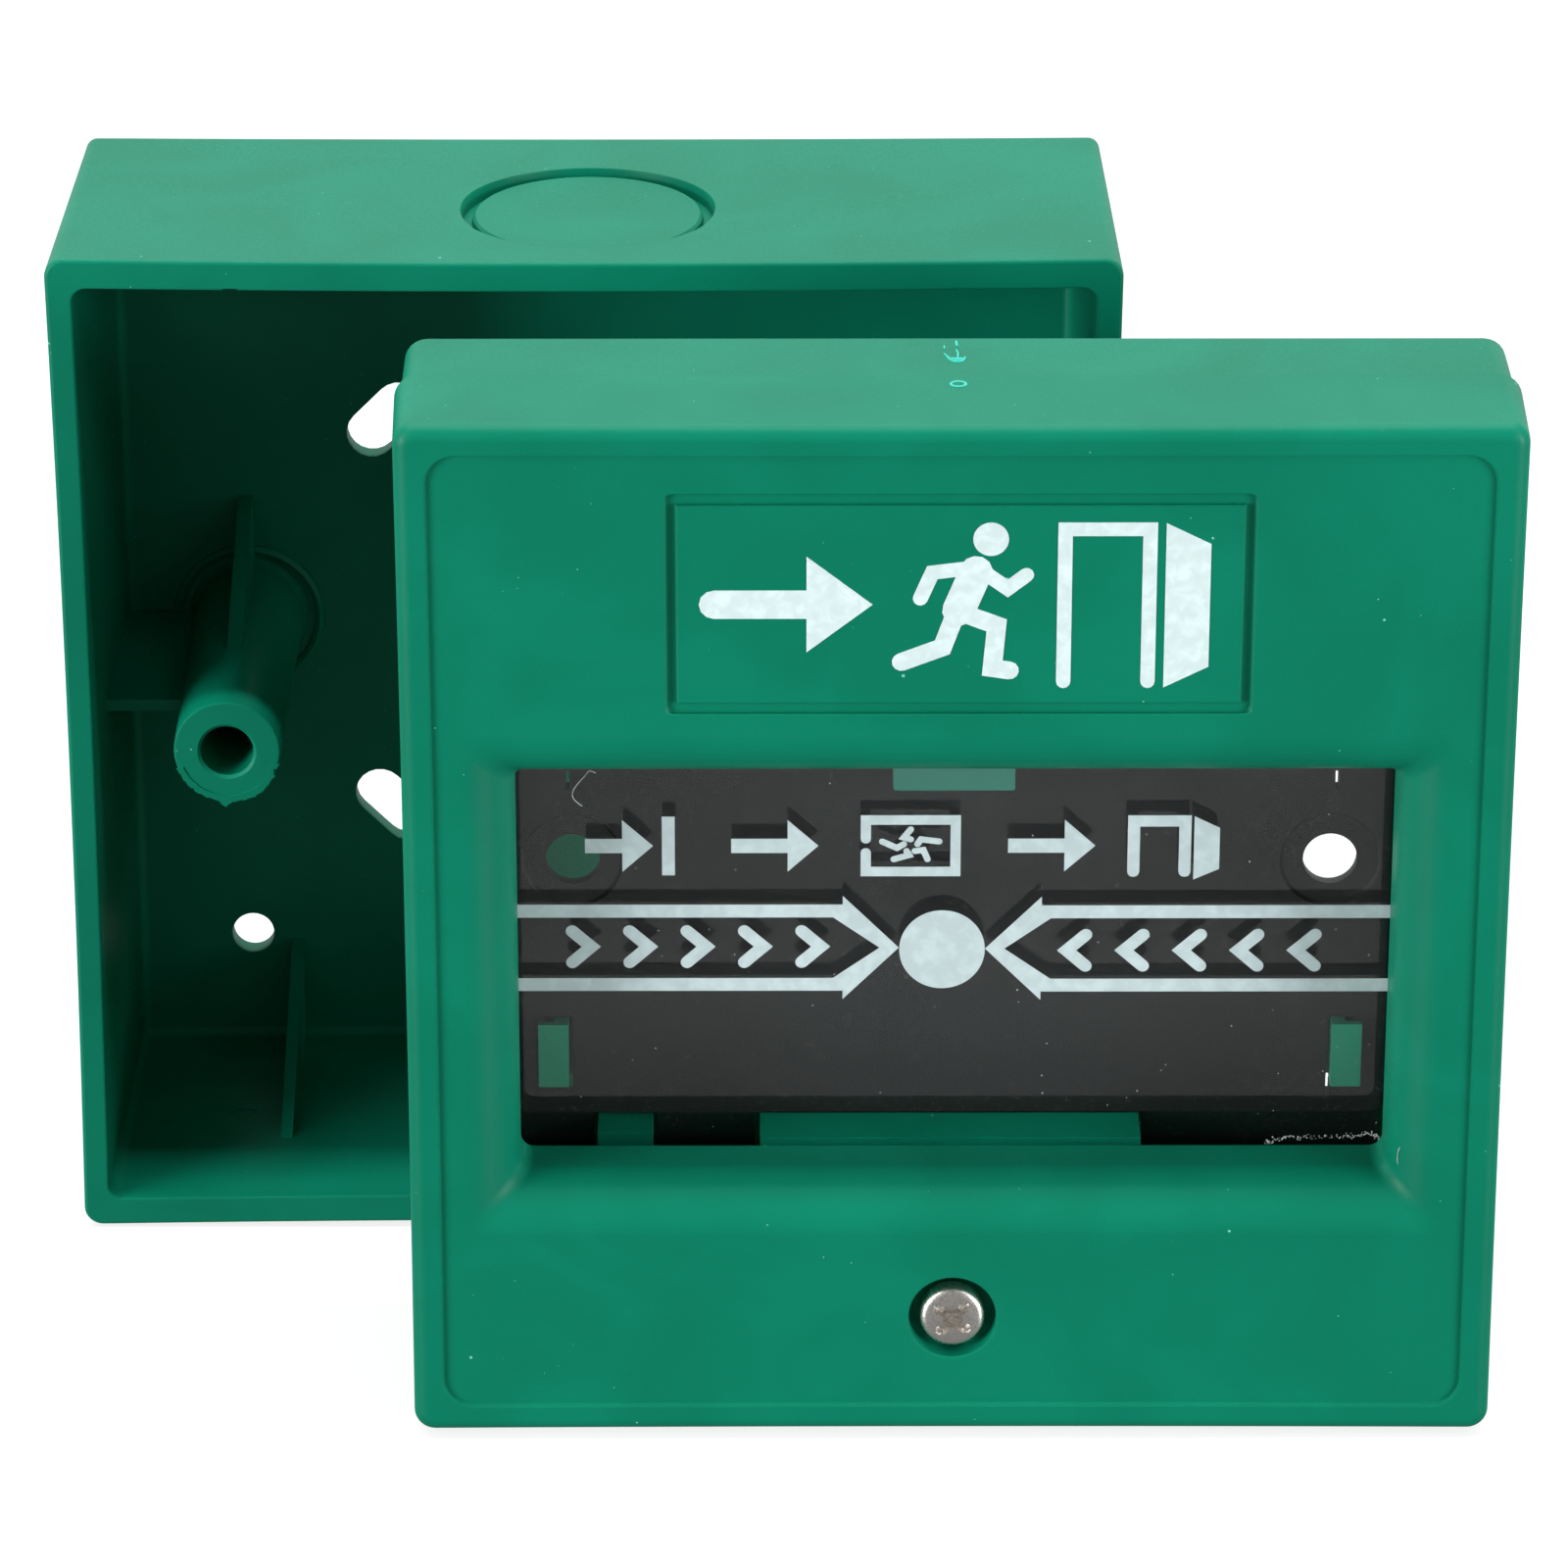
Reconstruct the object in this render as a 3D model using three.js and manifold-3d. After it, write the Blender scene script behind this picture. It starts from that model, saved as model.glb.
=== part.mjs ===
// Manual call point: a face unit that holds a break-glass pane and its switch, and the surface
// box that the unit screws on to. The two stand on one level surface, the unit in front of the box.
// Millimetres. X runs to the right, Y from front to back, Z up. The origin is the bottom centre
// of the pair. Each assembly is drawn in its own group: x = 0 on its centre line, y = 0 at its
// front face and z = 0 where it stands.

import * as THREE from "three";
import { mergeVertices } from "three/addons/utils/BufferGeometryUtils.js";
import Module from "manifold-3d";

const wasm = await Module();
wasm.setup();

// ---- Driving dimensions ----------------------------------------------------------------------

const FACE = 86; // side of the square faces of the box and the cover
const MIDDLE = FACE / 2; // height of the centre line
const GAP = 0.3; // left between pieces that touch
const OVERRUN = 1; // how far a cutter passes the face that it starts from
const ROOT = 0.5; // how far a rib or a hook is sunk into the wall that it grows from
const SCREW_X = 30; // half the standard 60 mm spacing of the fixing screws

const BOX_DEPTH = 32.8;
const BOX_DRAFT = 0.6; // each side, from rim to back
const BOX_SIDE_WALL = 2.1;
const BOX_TOP_WALL = 2.5;
const BOX_BACK_WALL = 2;
const BOX_FLOOR_Y = BOX_DEPTH - BOX_BACK_WALL;

const COVER_DEPTH = 10.7;
const COVER_DRAFT = 0.3;
const COVER_WALL = 2.2;
const COVER_FRONT = 2.4;
const PANEL_RECESS = 0.4;

const FRAME_SIDE = FACE - 0.84; // the neck behind the cover is a little smaller
const FRAME_FRONT = COVER_DEPTH + GAP;
const FRAME_BACK = 19.9;
const FRAME_WALL = 2;
const FRAME_REAR_WALL = 1.5;
const FRAME_FLOOR_Y = FRAME_BACK - FRAME_REAR_WALL;

const STANDOFF = 17.06; // from the back of the unit to the rim of the box
const SIDE_STEP = 29.14; // the unit stands this far to the right of the box
const UNIT_Y = -(FRAME_BACK + STANDOFF + BOX_DEPTH) / 2; // front face of the unit
const BOX_Y = UNIT_Y + FRAME_BACK + STANDOFF; // rim of the box

const WINDOW_WIDTH = 68.4;
const WINDOW_HEIGHT = 34.4;
const WINDOW_Z = 39.05;
const WINDOW_ROLL = 4.2; // radius of the rounded edge that leads into the window
const LIP_BACK = 8; // back of the lip that the pane rests against

const PANE_WIDTH = 74;
const PANE_HEIGHT = 39;
const PANE_FRONT = 8.8;
const PANE_BACK = 10.8;
const PANE_TRAVEL = 0.8; // how far the pane gives when it is pressed

const PLATE_FRONT = 16.6;
const PLATE_BACK = 18.1;
const PLATE_LOW = 20.7;
const PLATE_HIGH = 60.2;

const BOARD_FRONT = 16.5;
const BOARD_BACK = 18.1;
const SWITCH_Z = 67.5; // centre line of the switch
const TERMINAL_X = 24; // centre of the terminal block
const TERMINAL_Z = 70;
const TERMINAL_PITCH = 5.08;

const COVER_SCREW_Z = 10.3;

// ---- Materials -------------------------------------------------------------------------------

function finish(colour, roughness, metalness = 0) {
  return new THREE.MeshStandardMaterial({ color: colour, roughness, metalness });
}

const GREEN = () => finish(0x047a5f, 0.38);
const BLACK = () => finish(0x24282a, 0.55);
const NICKEL = () => finish(0xc3bbb4, 0.25, 1);
const STEEL = () => finish(0xb4b8bc, 0.35, 1);
const BRASS = () => finish(0xc8a350, 0.35, 1);

// ---- Shapes ----------------------------------------------------------------------------------

// A three.js geometry as a solid that can be joined and cut.
function solid(geometry) {
  const bare = geometry.clone();
  bare.deleteAttribute("normal");
  bare.deleteAttribute("uv");
  const merged = mergeVertices(bare, 1e-4);
  return new wasm.Manifold(
    new wasm.Mesh({
      numProp: 3,
      vertProperties: merged.attributes.position.array,
      triVerts: new Uint32Array(merged.index.array),
    }),
  );
}

// Joins several solids into one.
function join(first, ...others) {
  return others.reduce((whole, other) => whole.add(other), first);
}

// Takes several solids out of one.
function cut(whole, ...cutters) {
  return cutters.reduce((left, cutter) => left.subtract(cutter), whole);
}

// A box between two limits on each axis.
function block([x0, x1], [y0, y1], [z0, z1]) {
  const geometry = new THREE.BoxGeometry(x1 - x0, y1 - y0, z1 - z0);
  return solid(geometry.translate((x0 + x1) / 2, (y0 + y1) / 2, (z0 + z1) / 2));
}

// A block and its mirror image in the plane x = 0, as two solids.
function mirroredBlocks([x0, x1], y, z) {
  return [block([x0, x1], y, z), block([-x1, -x0], y, z)];
}

// A round bar along Y; the radius may differ at its two ends.
function bar(x, z, radius, [y0, y1], sides = 24, backRadius = radius) {
  const geometry = new THREE.CylinderGeometry(backRadius, radius, y1 - y0, sides);
  return solid(geometry.translate(x, (y0 + y1) / 2, z));
}

// A round bar along Z.
function upright(x, y, radius, [z0, z1], sides = 24) {
  const geometry = new THREE.CylinderGeometry(radius, radius, z1 - z0, sides);
  return solid(geometry.rotateX(Math.PI / 2).translate(x, y, (z0 + z1) / 2));
}

// A profile of [radius, y] points, front to back, turned about an axis along Y through x, z.
function turned(profile, x, z, sides = 24) {
  const points = profile.map(([radius, y]) => new THREE.Vector2(radius, y));
  return solid(new THREE.LatheGeometry(points, sides).translate(x, 0, z));
}

function roundedRectangle(width, height, radius) {
  const w = width / 2;
  const h = height / 2;
  const shape = new THREE.Shape();
  shape.moveTo(-w + radius, -h);
  shape.lineTo(w - radius, -h);
  shape.absarc(w - radius, -h + radius, radius, -Math.PI / 2, 0);
  shape.lineTo(w, h - radius);
  shape.absarc(w - radius, h - radius, radius, 0, Math.PI / 2);
  shape.lineTo(-w + radius, h);
  shape.absarc(-w + radius, h - radius, radius, Math.PI / 2, Math.PI);
  shape.lineTo(-w, -h + radius);
  shape.absarc(-w + radius, -h + radius, radius, Math.PI, 1.5 * Math.PI);
  return shape;
}

// A block with a rounded-rectangle outline that faces the front. Its levels run from the back
// to the front, each with its own depth y and the amount that the outline is drawn in there.
function moulded(width, height, radius, centreZ, levels, cornerSteps = 3) {
  const geometry = new THREE.ExtrudeGeometry(roundedRectangle(width, height, radius), {
    depth: levels.length - 1,
    steps: levels.length - 1,
    bevelEnabled: false,
    curveSegments: cornerSteps,
  });
  const position = geometry.attributes.position;
  for (let i = 0; i < position.count; i++) {
    const x = position.getX(i);
    const z = position.getY(i);
    const { y, inset } = levels[Math.round(position.getZ(i))];
    position.setXYZ(i, x - Math.sign(x) * inset, y, centreZ + z - Math.sign(z) * inset);
  }
  return solid(geometry);
}

// A straight-sided plate with a rounded-rectangle outline.
function panel(width, height, radius, centreZ, [y0, y1], cornerSteps = 3) {
  const levels = [
    { y: y1, inset: 0 },
    { y: y0, inset: 0 },
  ];
  return moulded(width, height, radius, centreZ, levels, cornerSteps);
}

// A thin rib in the plane x = const, from an outline of [y, z] points that runs anticlockwise.
function rib(x, thickness, outline) {
  const shape = new THREE.Shape(outline.map(([y, z]) => new THREE.Vector2(y, z)));
  const geometry = new THREE.ExtrudeGeometry(shape, { depth: thickness, bevelEnabled: false });
  const yAxis = new THREE.Vector3(0, 1, 0);
  const zAxis = new THREE.Vector3(0, 0, 1);
  const xAxis = new THREE.Vector3(1, 0, 0);
  geometry.applyMatrix4(new THREE.Matrix4().makeBasis(yAxis, zAxis, xAxis));
  return solid(geometry.translate(x - thickness / 2, 0, 0));
}

// An oblong slot through the thickness from y0 to y1, turned by an angle about its centre.
function slot(x, z, width, length, angle, [y0, y1]) {
  const straight = length - width;
  const shape = new THREE.Shape();
  shape.absarc(straight / 2, 0, width / 2, -Math.PI / 2, Math.PI / 2);
  shape.absarc(-straight / 2, 0, width / 2, Math.PI / 2, 1.5 * Math.PI);
  const geometry = new THREE.ExtrudeGeometry(shape, {
    depth: y1 - y0,
    bevelEnabled: false,
    curveSegments: 8,
  });
  return solid(geometry.rotateZ(angle).rotateX(Math.PI / 2).translate(x, y1, z));
}

// A cross recess for a screwdriver, sunk from the face y0 of a screw head.
function crossRecess(x, z, y0, depth, span, width, angle) {
  const arms = [0, Math.PI / 2].map((turn) => {
    const arm = new THREE.BoxGeometry(span, depth + OVERRUN, width);
    return solid(arm.rotateY(angle + turn).translate(x, y0 + (depth - OVERRUN) / 2, z));
  });
  return join(...arms);
}

// ---- The model -------------------------------------------------------------------------------

const box = new THREE.Group();
box.position.set(-SIDE_STEP / 2, BOX_Y, 0);

const unit = new THREE.Group();
unit.position.set(SIDE_STEP / 2, UNIT_Y, 0);

// Adds a solid to a group as a named mesh.
function place(group, name, body, material) {
  const made = body.getMesh();
  const geometry = new THREE.BufferGeometry();
  geometry.setAttribute("position", new THREE.BufferAttribute(made.vertProperties, 3));
  geometry.setIndex(new THREE.BufferAttribute(made.triVerts, 1));
  geometry.computeVertexNormals();
  const mesh = new THREE.Mesh(geometry, material);
  mesh.name = name;
  group.add(mesh);
}

// ---- Surface box -----------------------------------------------------------------------------

const POST_RADIUS = 4.4;
const POST_FRONT = 1;
const POST_RING_RADIUS = 6;
const PILOT_RADIUS = 2.2;
const RIB = 1; // thickness of the ribs
const RIB_FRONT = 10.8;
const WALL_SLOT_RADIUS = 25.3; // from the centre of the back to each of its four slots
const KNOCKOUT_RADIUS = 10.3;
const KNOCKOUT_Y = 14.26;
const KNOCKOUT_SINK = 0.5; // depth of the disc below the face around it
const KNOCKOUT_DEPTH = 1.4; // depth of the groove round the disc

// A post for a fixing screw, with a raised ring at its root and two ribs that stiffen it.
function boxPost(side) {
  const x = side * SCREW_X;
  const root = BOX_FLOOR_Y + OVERRUN;
  const stem = bar(x, MIDDLE, POST_RADIUS, [POST_FRONT, root], 32, POST_RADIUS + 0.3);
  const ringFront = BOX_FLOOR_Y - 0.6;
  const ring = cut(
    bar(x, MIDDLE, POST_RING_RADIUS + 0.4, [ringFront, root], 32),
    bar(x, MIDDLE, POST_RING_RADIUS - 0.4, [ringFront - OVERRUN, root + OVERRUN], 32),
  );
  const ribLow = MIDDLE + POST_RADIUS - 1;
  const ribHigh = MIDDLE + 11;
  const upperRib = rib(x, RIB, [
    [12, ribLow],
    [root, ribLow],
    [root, ribHigh],
    [BOX_FLOOR_Y, ribHigh],
    [12, ribLow + 1],
  ]);
  const wall = FACE / 2 - 1;
  const sideX = side > 0 ? [x + 3, wall] : [-wall, x - 3];
  const sideRib = block(sideX, [RIB_FRONT, root], [MIDDLE - RIB / 2, MIDDLE + RIB / 2]);
  return join(stem, ring, upperRib, sideRib);
}

// The cutter of a conduit knockout: a groove round a sunken disc. It lies between the heights z,
// of which the first is the bottom of the groove and the second is outside the face.
function knockout([groove, outside]) {
  const disc = groove + Math.sign(outside - groove) * (KNOCKOUT_DEPTH - KNOCKOUT_SINK);
  const cylinder = (radius, ends) => upright(0, KNOCKOUT_Y, radius, ends.sort((a, b) => a - b), 40);
  const ring = cut(
    cylinder(KNOCKOUT_RADIUS, [groove, outside]),
    cylinder(KNOCKOUT_RADIUS - 0.95, [2 * groove - outside, 2 * outside - groove]),
  );
  return join(ring, cylinder(KNOCKOUT_RADIUS, [disc, outside]));
}

function backBox() {
  const outer = moulded(FACE, FACE, 1.6, MIDDLE, [
    { y: BOX_DEPTH, inset: BOX_DRAFT + 0.5 },
    { y: BOX_DEPTH - 0.5, inset: BOX_DRAFT },
    { y: 0.4, inset: 0 },
    { y: 0, inset: 0.3 },
  ]);
  const cavity = moulded(FACE - 2 * BOX_SIDE_WALL, FACE - 2 * BOX_TOP_WALL, 1, MIDDLE, [
    { y: BOX_FLOOR_Y, inset: BOX_DRAFT + 0.6 },
    { y: BOX_FLOOR_Y - 0.8, inset: BOX_DRAFT },
    { y: -OVERRUN, inset: 0 },
  ]);
  const gussets = [-1, 1].map((side) =>
    rib(side * 26.6, RIB, [
      [RIB_FRONT, BOX_TOP_WALL - 1],
      [BOX_FLOOR_Y + 1, BOX_TOP_WALL - 1],
      [BOX_FLOOR_Y + 1, 12.4],
      [BOX_FLOOR_Y, 12.4],
      [RIB_FRONT, BOX_TOP_WALL],
    ]),
  );
  const shell = join(cut(outer, cavity), boxPost(-1), boxPost(1), ...gussets);
  const through = [BOX_FLOOR_Y - OVERRUN, BOX_DEPTH + OVERRUN];
  const pilots = [-1, 1].map((side) => bar(side * SCREW_X, MIDDLE, PILOT_RADIUS, [-OVERRUN, 26]));
  const cornerHoles = [-1, 1].map((side) => bar(side * 30.5, 12.9, 1.8, through, 20));
  const wallSlots = [0, 1, 2, 3].map((quarter) => {
    const angle = Math.PI / 4 + (quarter * Math.PI) / 2;
    const x = WALL_SLOT_RADIUS * Math.cos(angle);
    const z = MIDDLE + WALL_SLOT_RADIUS * Math.sin(angle);
    return slot(x, z, 4.2, 7.6, angle + Math.PI / 2, through);
  });
  const topFace = FACE - BOX_DRAFT / 2;
  const bottomFace = BOX_DRAFT / 2;
  return cut(
    shell,
    ...pilots,
    ...cornerHoles,
    ...wallSlots,
    knockout([topFace - KNOCKOUT_DEPTH, FACE + OVERRUN]),
    knockout([bottomFace + KNOCKOUT_DEPTH, -OVERRUN]),
  );
}

place(box, "back_box", backBox(), GREEN());

// ---- Front cover -----------------------------------------------------------------------------

// Levels of a quarter-round front edge, from back to front.
function roundedFront(radius, startInset, steps) {
  return Array.from({ length: steps }, (_, i) => {
    const angle = ((i + 1) / steps) * (Math.PI / 2);
    return { y: radius * (1 - Math.sin(angle)), inset: startInset + radius * (1 - Math.cos(angle)) };
  });
}

// The cutter of the window, whose edge rolls over from the front panel to the opening.
function windowCutter() {
  const steps = 5;
  const roll = Array.from({ length: steps + 1 }, (_, i) => {
    const angle = (1 - i / steps) * (Math.PI / 2);
    return {
      y: PANEL_RECESS + WINDOW_ROLL * (1 - Math.cos(angle)),
      inset: WINDOW_ROLL * Math.sin(angle),
    };
  });
  const levels = [{ y: LIP_BACK + OVERRUN, inset: WINDOW_ROLL }, ...roll, { y: -OVERRUN, inset: 0 }];
  const width = WINDOW_WIDTH + 2 * WINDOW_ROLL;
  const height = WINDOW_HEIGHT + 2 * WINDOW_ROLL;
  return moulded(width, height, 1.2, WINDOW_Z, levels);
}

// The hook at the top of the cover, whose nib catches behind the front lip of the frame.
function coverHook(x) {
  const across = [x - 4, x + 4];
  const root = block(across, [4, 10.2], [81.3, FACE - 1.5]);
  const tongue = block(across, [9, 13.7], [81.3, 83]);
  const nib = block(across, [13, 13.7], [82.5, 83.85]);
  return join(root, tongue, nib);
}

const PANE_LOW = WINDOW_Z - PANE_HEIGHT / 2;
const PANE_HIGH = WINDOW_Z + PANE_HEIGHT / 2;
const PANE_ROOM = 0.4; // all round the pane, between it and the ribs that centre it
const KEEPER_SCREW_X = 39;
const KEEPER_SCREW_Z = WINDOW_Z + 6;
const KEEPER_SCREW_LENGTH = 4;
const KEEPER_SCREW_HEAD = 1.1; // height of its head
const KEEPER_FRONT = PANE_BACK + PANE_TRAVEL + GAP;
const KEEPER_BACK = KEEPER_FRONT + 0.5;
const KEEPER_BOSS_HALF = 8; // half the height of the boss under each keeper
const LABEL_Z = 71.2;

function frontCover() {
  const outer = moulded(FACE, FACE, 1.8, MIDDLE, [
    { y: COVER_DEPTH, inset: 0 },
    { y: 1.1, inset: COVER_DRAFT },
    ...roundedFront(1.1, COVER_DRAFT, 3),
  ]);
  const inside = FACE - 2 * COVER_WALL;
  const cavity = moulded(inside, inside, 1, MIDDLE, [
    { y: COVER_DEPTH + OVERRUN, inset: 0 },
    { y: COVER_FRONT, inset: COVER_DRAFT },
  ]);
  const lip = panel(WINDOW_WIDTH + 7.6, WINDOW_HEIGHT + 7.6, 2, WINDOW_Z, [COVER_FRONT - 1, LIP_BACK]);
  const ribLevel = [COVER_FRONT - 1, COVER_DEPTH - 0.1];
  const paneRibs = [-20, 20].flatMap((x) => [
    block([x - 8, x + 8], ribLevel, [PANE_HIGH + PANE_ROOM, PANE_HIGH + PANE_ROOM + 1]),
    block([x - 8, x + 8], ribLevel, [PANE_LOW - PANE_ROOM - 1, PANE_LOW - PANE_ROOM]),
  ]);
  const keeperBosses = mirroredBlocks(
    [PANE_WIDTH / 2 + PANE_ROOM, FACE / 2 - 1.5],
    [COVER_FRONT - 1, PANE_BACK + PANE_TRAVEL],
    [WINDOW_Z - KEEPER_BOSS_HALF, WINDOW_Z + KEEPER_BOSS_HALF],
  );
  const screwBoss = bar(0, COVER_SCREW_Z, 4.4, [COVER_FRONT - 1, 10.2], 24);
  const shell = join(
    cut(outer, cavity),
    lip,
    ...paneRibs,
    ...keeperBosses,
    screwBoss,
    coverHook(-22),
    coverHook(22),
  );
  const recess = panel(FACE - 5.3, FACE - 5.3, 2.2, MIDDLE, [-OVERRUN, PANEL_RECESS]);
  const labelGroove = cut(
    panel(44.6, 17.9, 0.3, LABEL_Z, [-OVERRUN, PANEL_RECESS + 0.4], 1),
    panel(42.9, 16.2, 0.3, LABEL_Z, [-2 * OVERRUN, PANEL_RECESS + OVERRUN], 1),
  );
  const keeperHoles = [-1, 1].map((side) =>
    bar(side * KEEPER_SCREW_X, KEEPER_SCREW_Z, 1.1, [LIP_BACK - GAP, PANE_BACK + OVERRUN], 12),
  );
  return cut(
    shell,
    recess,
    labelGroove,
    windowCutter(),
    bar(0, COVER_SCREW_Z, 3.45, [-OVERRUN, 2.6], 32),
    bar(0, COVER_SCREW_Z, 1.9, [0, COVER_DEPTH + OVERRUN], 20),
    ...keeperHoles,
  );
}

place(unit, "front_cover", frontCover(), GREEN());

// ---- Pane and what holds it ------------------------------------------------------------------

function paneGasket() {
  const level = [LIP_BACK + 0.15, PANE_FRONT - 0.15];
  const through = [level[0] - 1, level[1] + 1];
  const outer = panel(PANE_WIDTH - 1, PANE_HEIGHT - 1, 1.5, WINDOW_Z, level, 2);
  return cut(outer, panel(WINDOW_WIDTH + 1.6, WINDOW_HEIGHT + 1.6, 1, WINDOW_Z, through, 2));
}

// A spring-steel strip behind one end of the pane, which leaves it room to travel.
function paneKeeper(side) {
  const across = side > 0 ? [35, 40.2] : [-40.2, -35];
  const strip = block(across, [KEEPER_FRONT, KEEPER_BACK], [WINDOW_Z - 7.5, WINDOW_Z + 7.5]);
  const through = [KEEPER_FRONT - OVERRUN, KEEPER_BACK + OVERRUN];
  return cut(strip, bar(side * KEEPER_SCREW_X, KEEPER_SCREW_Z, 1.1, through, 12));
}

function keeperScrew(side) {
  const headY = KEEPER_BACK + GAP;
  const profile = [
    [0, headY - KEEPER_SCREW_LENGTH],
    [0.8, headY - KEEPER_SCREW_LENGTH + 0.4],
    [0.8, headY],
    [1.8, headY],
    [1.6, headY + KEEPER_SCREW_HEAD - 0.2],
    [0, headY + KEEPER_SCREW_HEAD],
  ];
  return turned(profile, side * KEEPER_SCREW_X, KEEPER_SCREW_Z, 16);
}

place(unit, "pane_gasket", paneGasket(), finish(0x1a1c1d, 0.9));
place(
  unit,
  "glass_pane",
  panel(PANE_WIDTH, PANE_HEIGHT, 0.8, WINDOW_Z, [PANE_FRONT, PANE_BACK], 2),
  new THREE.MeshStandardMaterial({ color: 0xdfe9ea, roughness: 0.05, transparent: true, opacity: 0.3 }),
);
[
  ["left", -1],
  ["right", 1],
].forEach(([word, side]) => {
  place(unit, `pane_keeper_${word}`, paneKeeper(side), STEEL());
  place(unit, `keeper_screw_${word}`, keeperScrew(side), STEEL());
});

// ---- Cover screw -----------------------------------------------------------------------------

function coverScrew() {
  const profile = [
    [0, 0.55],
    [1.3, 0.68],
    [2.2, 1.1],
    [2.6, 1.75],
    [2.6, 2.3],
    [1.5, 2.3],
    [1.5, 15.7],
    [1, 16.3],
    [0, 16.3],
  ];
  const recess = crossRecess(0, COVER_SCREW_Z, 0.5, 1.1, 3.2, 0.9, 0.73);
  return cut(turned(profile, 0, COVER_SCREW_Z, 24), recess);
}

function tube(x, z, outerRadius, innerRadius, [y0, y1], sides = 20) {
  return cut(bar(x, z, outerRadius, [y0, y1], sides), bar(x, z, innerRadius, [y0 - 1, y1 + 1], sides));
}

place(unit, "cover_screw", coverScrew(), NICKEL());
place(unit, "screw_insert", tube(0, COVER_SCREW_Z, 2.5, 2, [11.5, 17]), BRASS());

// ---- Frame behind the cover ------------------------------------------------------------------

const HOOK_X = [30.5, 31.6]; // stem of a hook that holds the back plate
const HOOK_TIP_X = 32.9; // end of its nib, which lies on the front of the plate
const HOOK_FRONT = 15.6;
const HOOK_HEIGHT = 5.5;
const HOOK_ROWS = [26.3, 55.3]; // heights of the two rows of hooks
const SLIT_X = 30.35; // slits in the plate, in line with openings in the wall behind it
const SLIT_ROWS = [23.2, 49.9];

// A hook on the rear wall of the frame, through its slot in the back plate.
function plateHook(side, z) {
  const height = [z - HOOK_HEIGHT / 2, z + HOOK_HEIGHT / 2];
  const across = ([a, b]) => (side > 0 ? [a, b] : [-b, -a]);
  const stem = block(across(HOOK_X), [HOOK_FRONT, FRAME_FLOOR_Y + ROOT], height);
  const nib = block(across([HOOK_X[0], HOOK_TIP_X]), [HOOK_FRONT, PLATE_FRONT - GAP], height);
  return join(stem, nib);
}

const BOSS_FRONT = PANE_BACK + PANE_TRAVEL + GAP; // front of the block round the screw boss

function baseFrame() {
  const outer = moulded(FRAME_SIDE, FRAME_SIDE, 1.8, MIDDLE, [
    { y: FRAME_BACK, inset: 0.3 },
    { y: FRAME_BACK - 0.3, inset: 0 },
    { y: FRAME_FRONT, inset: 0 },
  ]);
  const inside = FRAME_SIDE - 2 * FRAME_WALL;
  const cavity = panel(inside, inside, 1, MIDDLE, [FRAME_FRONT - OVERRUN, FRAME_FLOOR_Y]);
  const low = MIDDLE - FRAME_SIDE / 2 + 1;
  const bossBlock = join(
    block([-15.2, 15.2], [BOSS_FRONT, PLATE_FRONT - GAP], [low, 20.9]),
    block([-15.2, 15.2], [BOSS_FRONT, FRAME_FLOOR_Y + ROOT], [low, PLATE_LOW - GAP]),
    block([-28.2, -23.8], [14, FRAME_FLOOR_Y + ROOT], [18.2, PLATE_LOW - GAP]),
  );
  const hooks = [-1, 1].flatMap((side) => HOOK_ROWS.map((z) => plateHook(side, z)));
  const body = join(cut(outer, cavity), bossBlock, ...hooks);
  const through = [FRAME_FLOOR_Y - OVERRUN, FRAME_BACK + OVERRUN];
  const bossPocket = block([-13.4, 13.4], [13, FRAME_BACK + OVERRUN], [4, 17.8]);
  const insertBoss = bar(0, COVER_SCREW_Z, 4.6, [12, FRAME_BACK - 0.4], 24);
  const hollowed = join(cut(body, bossPocket), insertBoss);
  const screwHoles = [-1, 1].map((side) => bar(side * SCREW_X, MIDDLE, 4.6, through, 24));
  const nibPockets = mirroredBlocks([17.6, 26.4], [12.4, 15], [82, 84.7]);
  const bossRoom = KEEPER_BOSS_HALF + 2 * GAP;
  const bossPockets = mirroredBlocks(
    [FRAME_SIDE / 2 - FRAME_WALL - 1, FACE / 2 - 1.2],
    [FRAME_FRONT - OVERRUN, KEEPER_BACK + KEEPER_SCREW_HEAD + 3 * GAP],
    [WINDOW_Z - bossRoom, WINDOW_Z + bossRoom],
  );
  const slitOpenings = SLIT_ROWS.flatMap((z) =>
    mirroredBlocks([SLIT_X - 0.5, SLIT_X + 0.5], through, [z - 1.8, z + 0.2]),
  );
  return cut(
    hollowed,
    block([-27.5, 27.5], through, [21.5, 59]),
    block([-37, -22], through, [63, 78]),
    block([-9, 34], through, [64.5, 76]),
    bar(0, COVER_SCREW_Z, 2.8, [FRAME_FRONT, 17.4], 20),
    ...screwHoles,
    ...nibPockets,
    ...bossPockets,
    ...slitOpenings,
    ...boardScrewHoles(),
  );
}

// ---- Back plate ------------------------------------------------------------------------------

const STEM_Z = 57.4; // height of the stem of the trip plunger
const STEM_HALF = 2; // half its width

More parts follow.
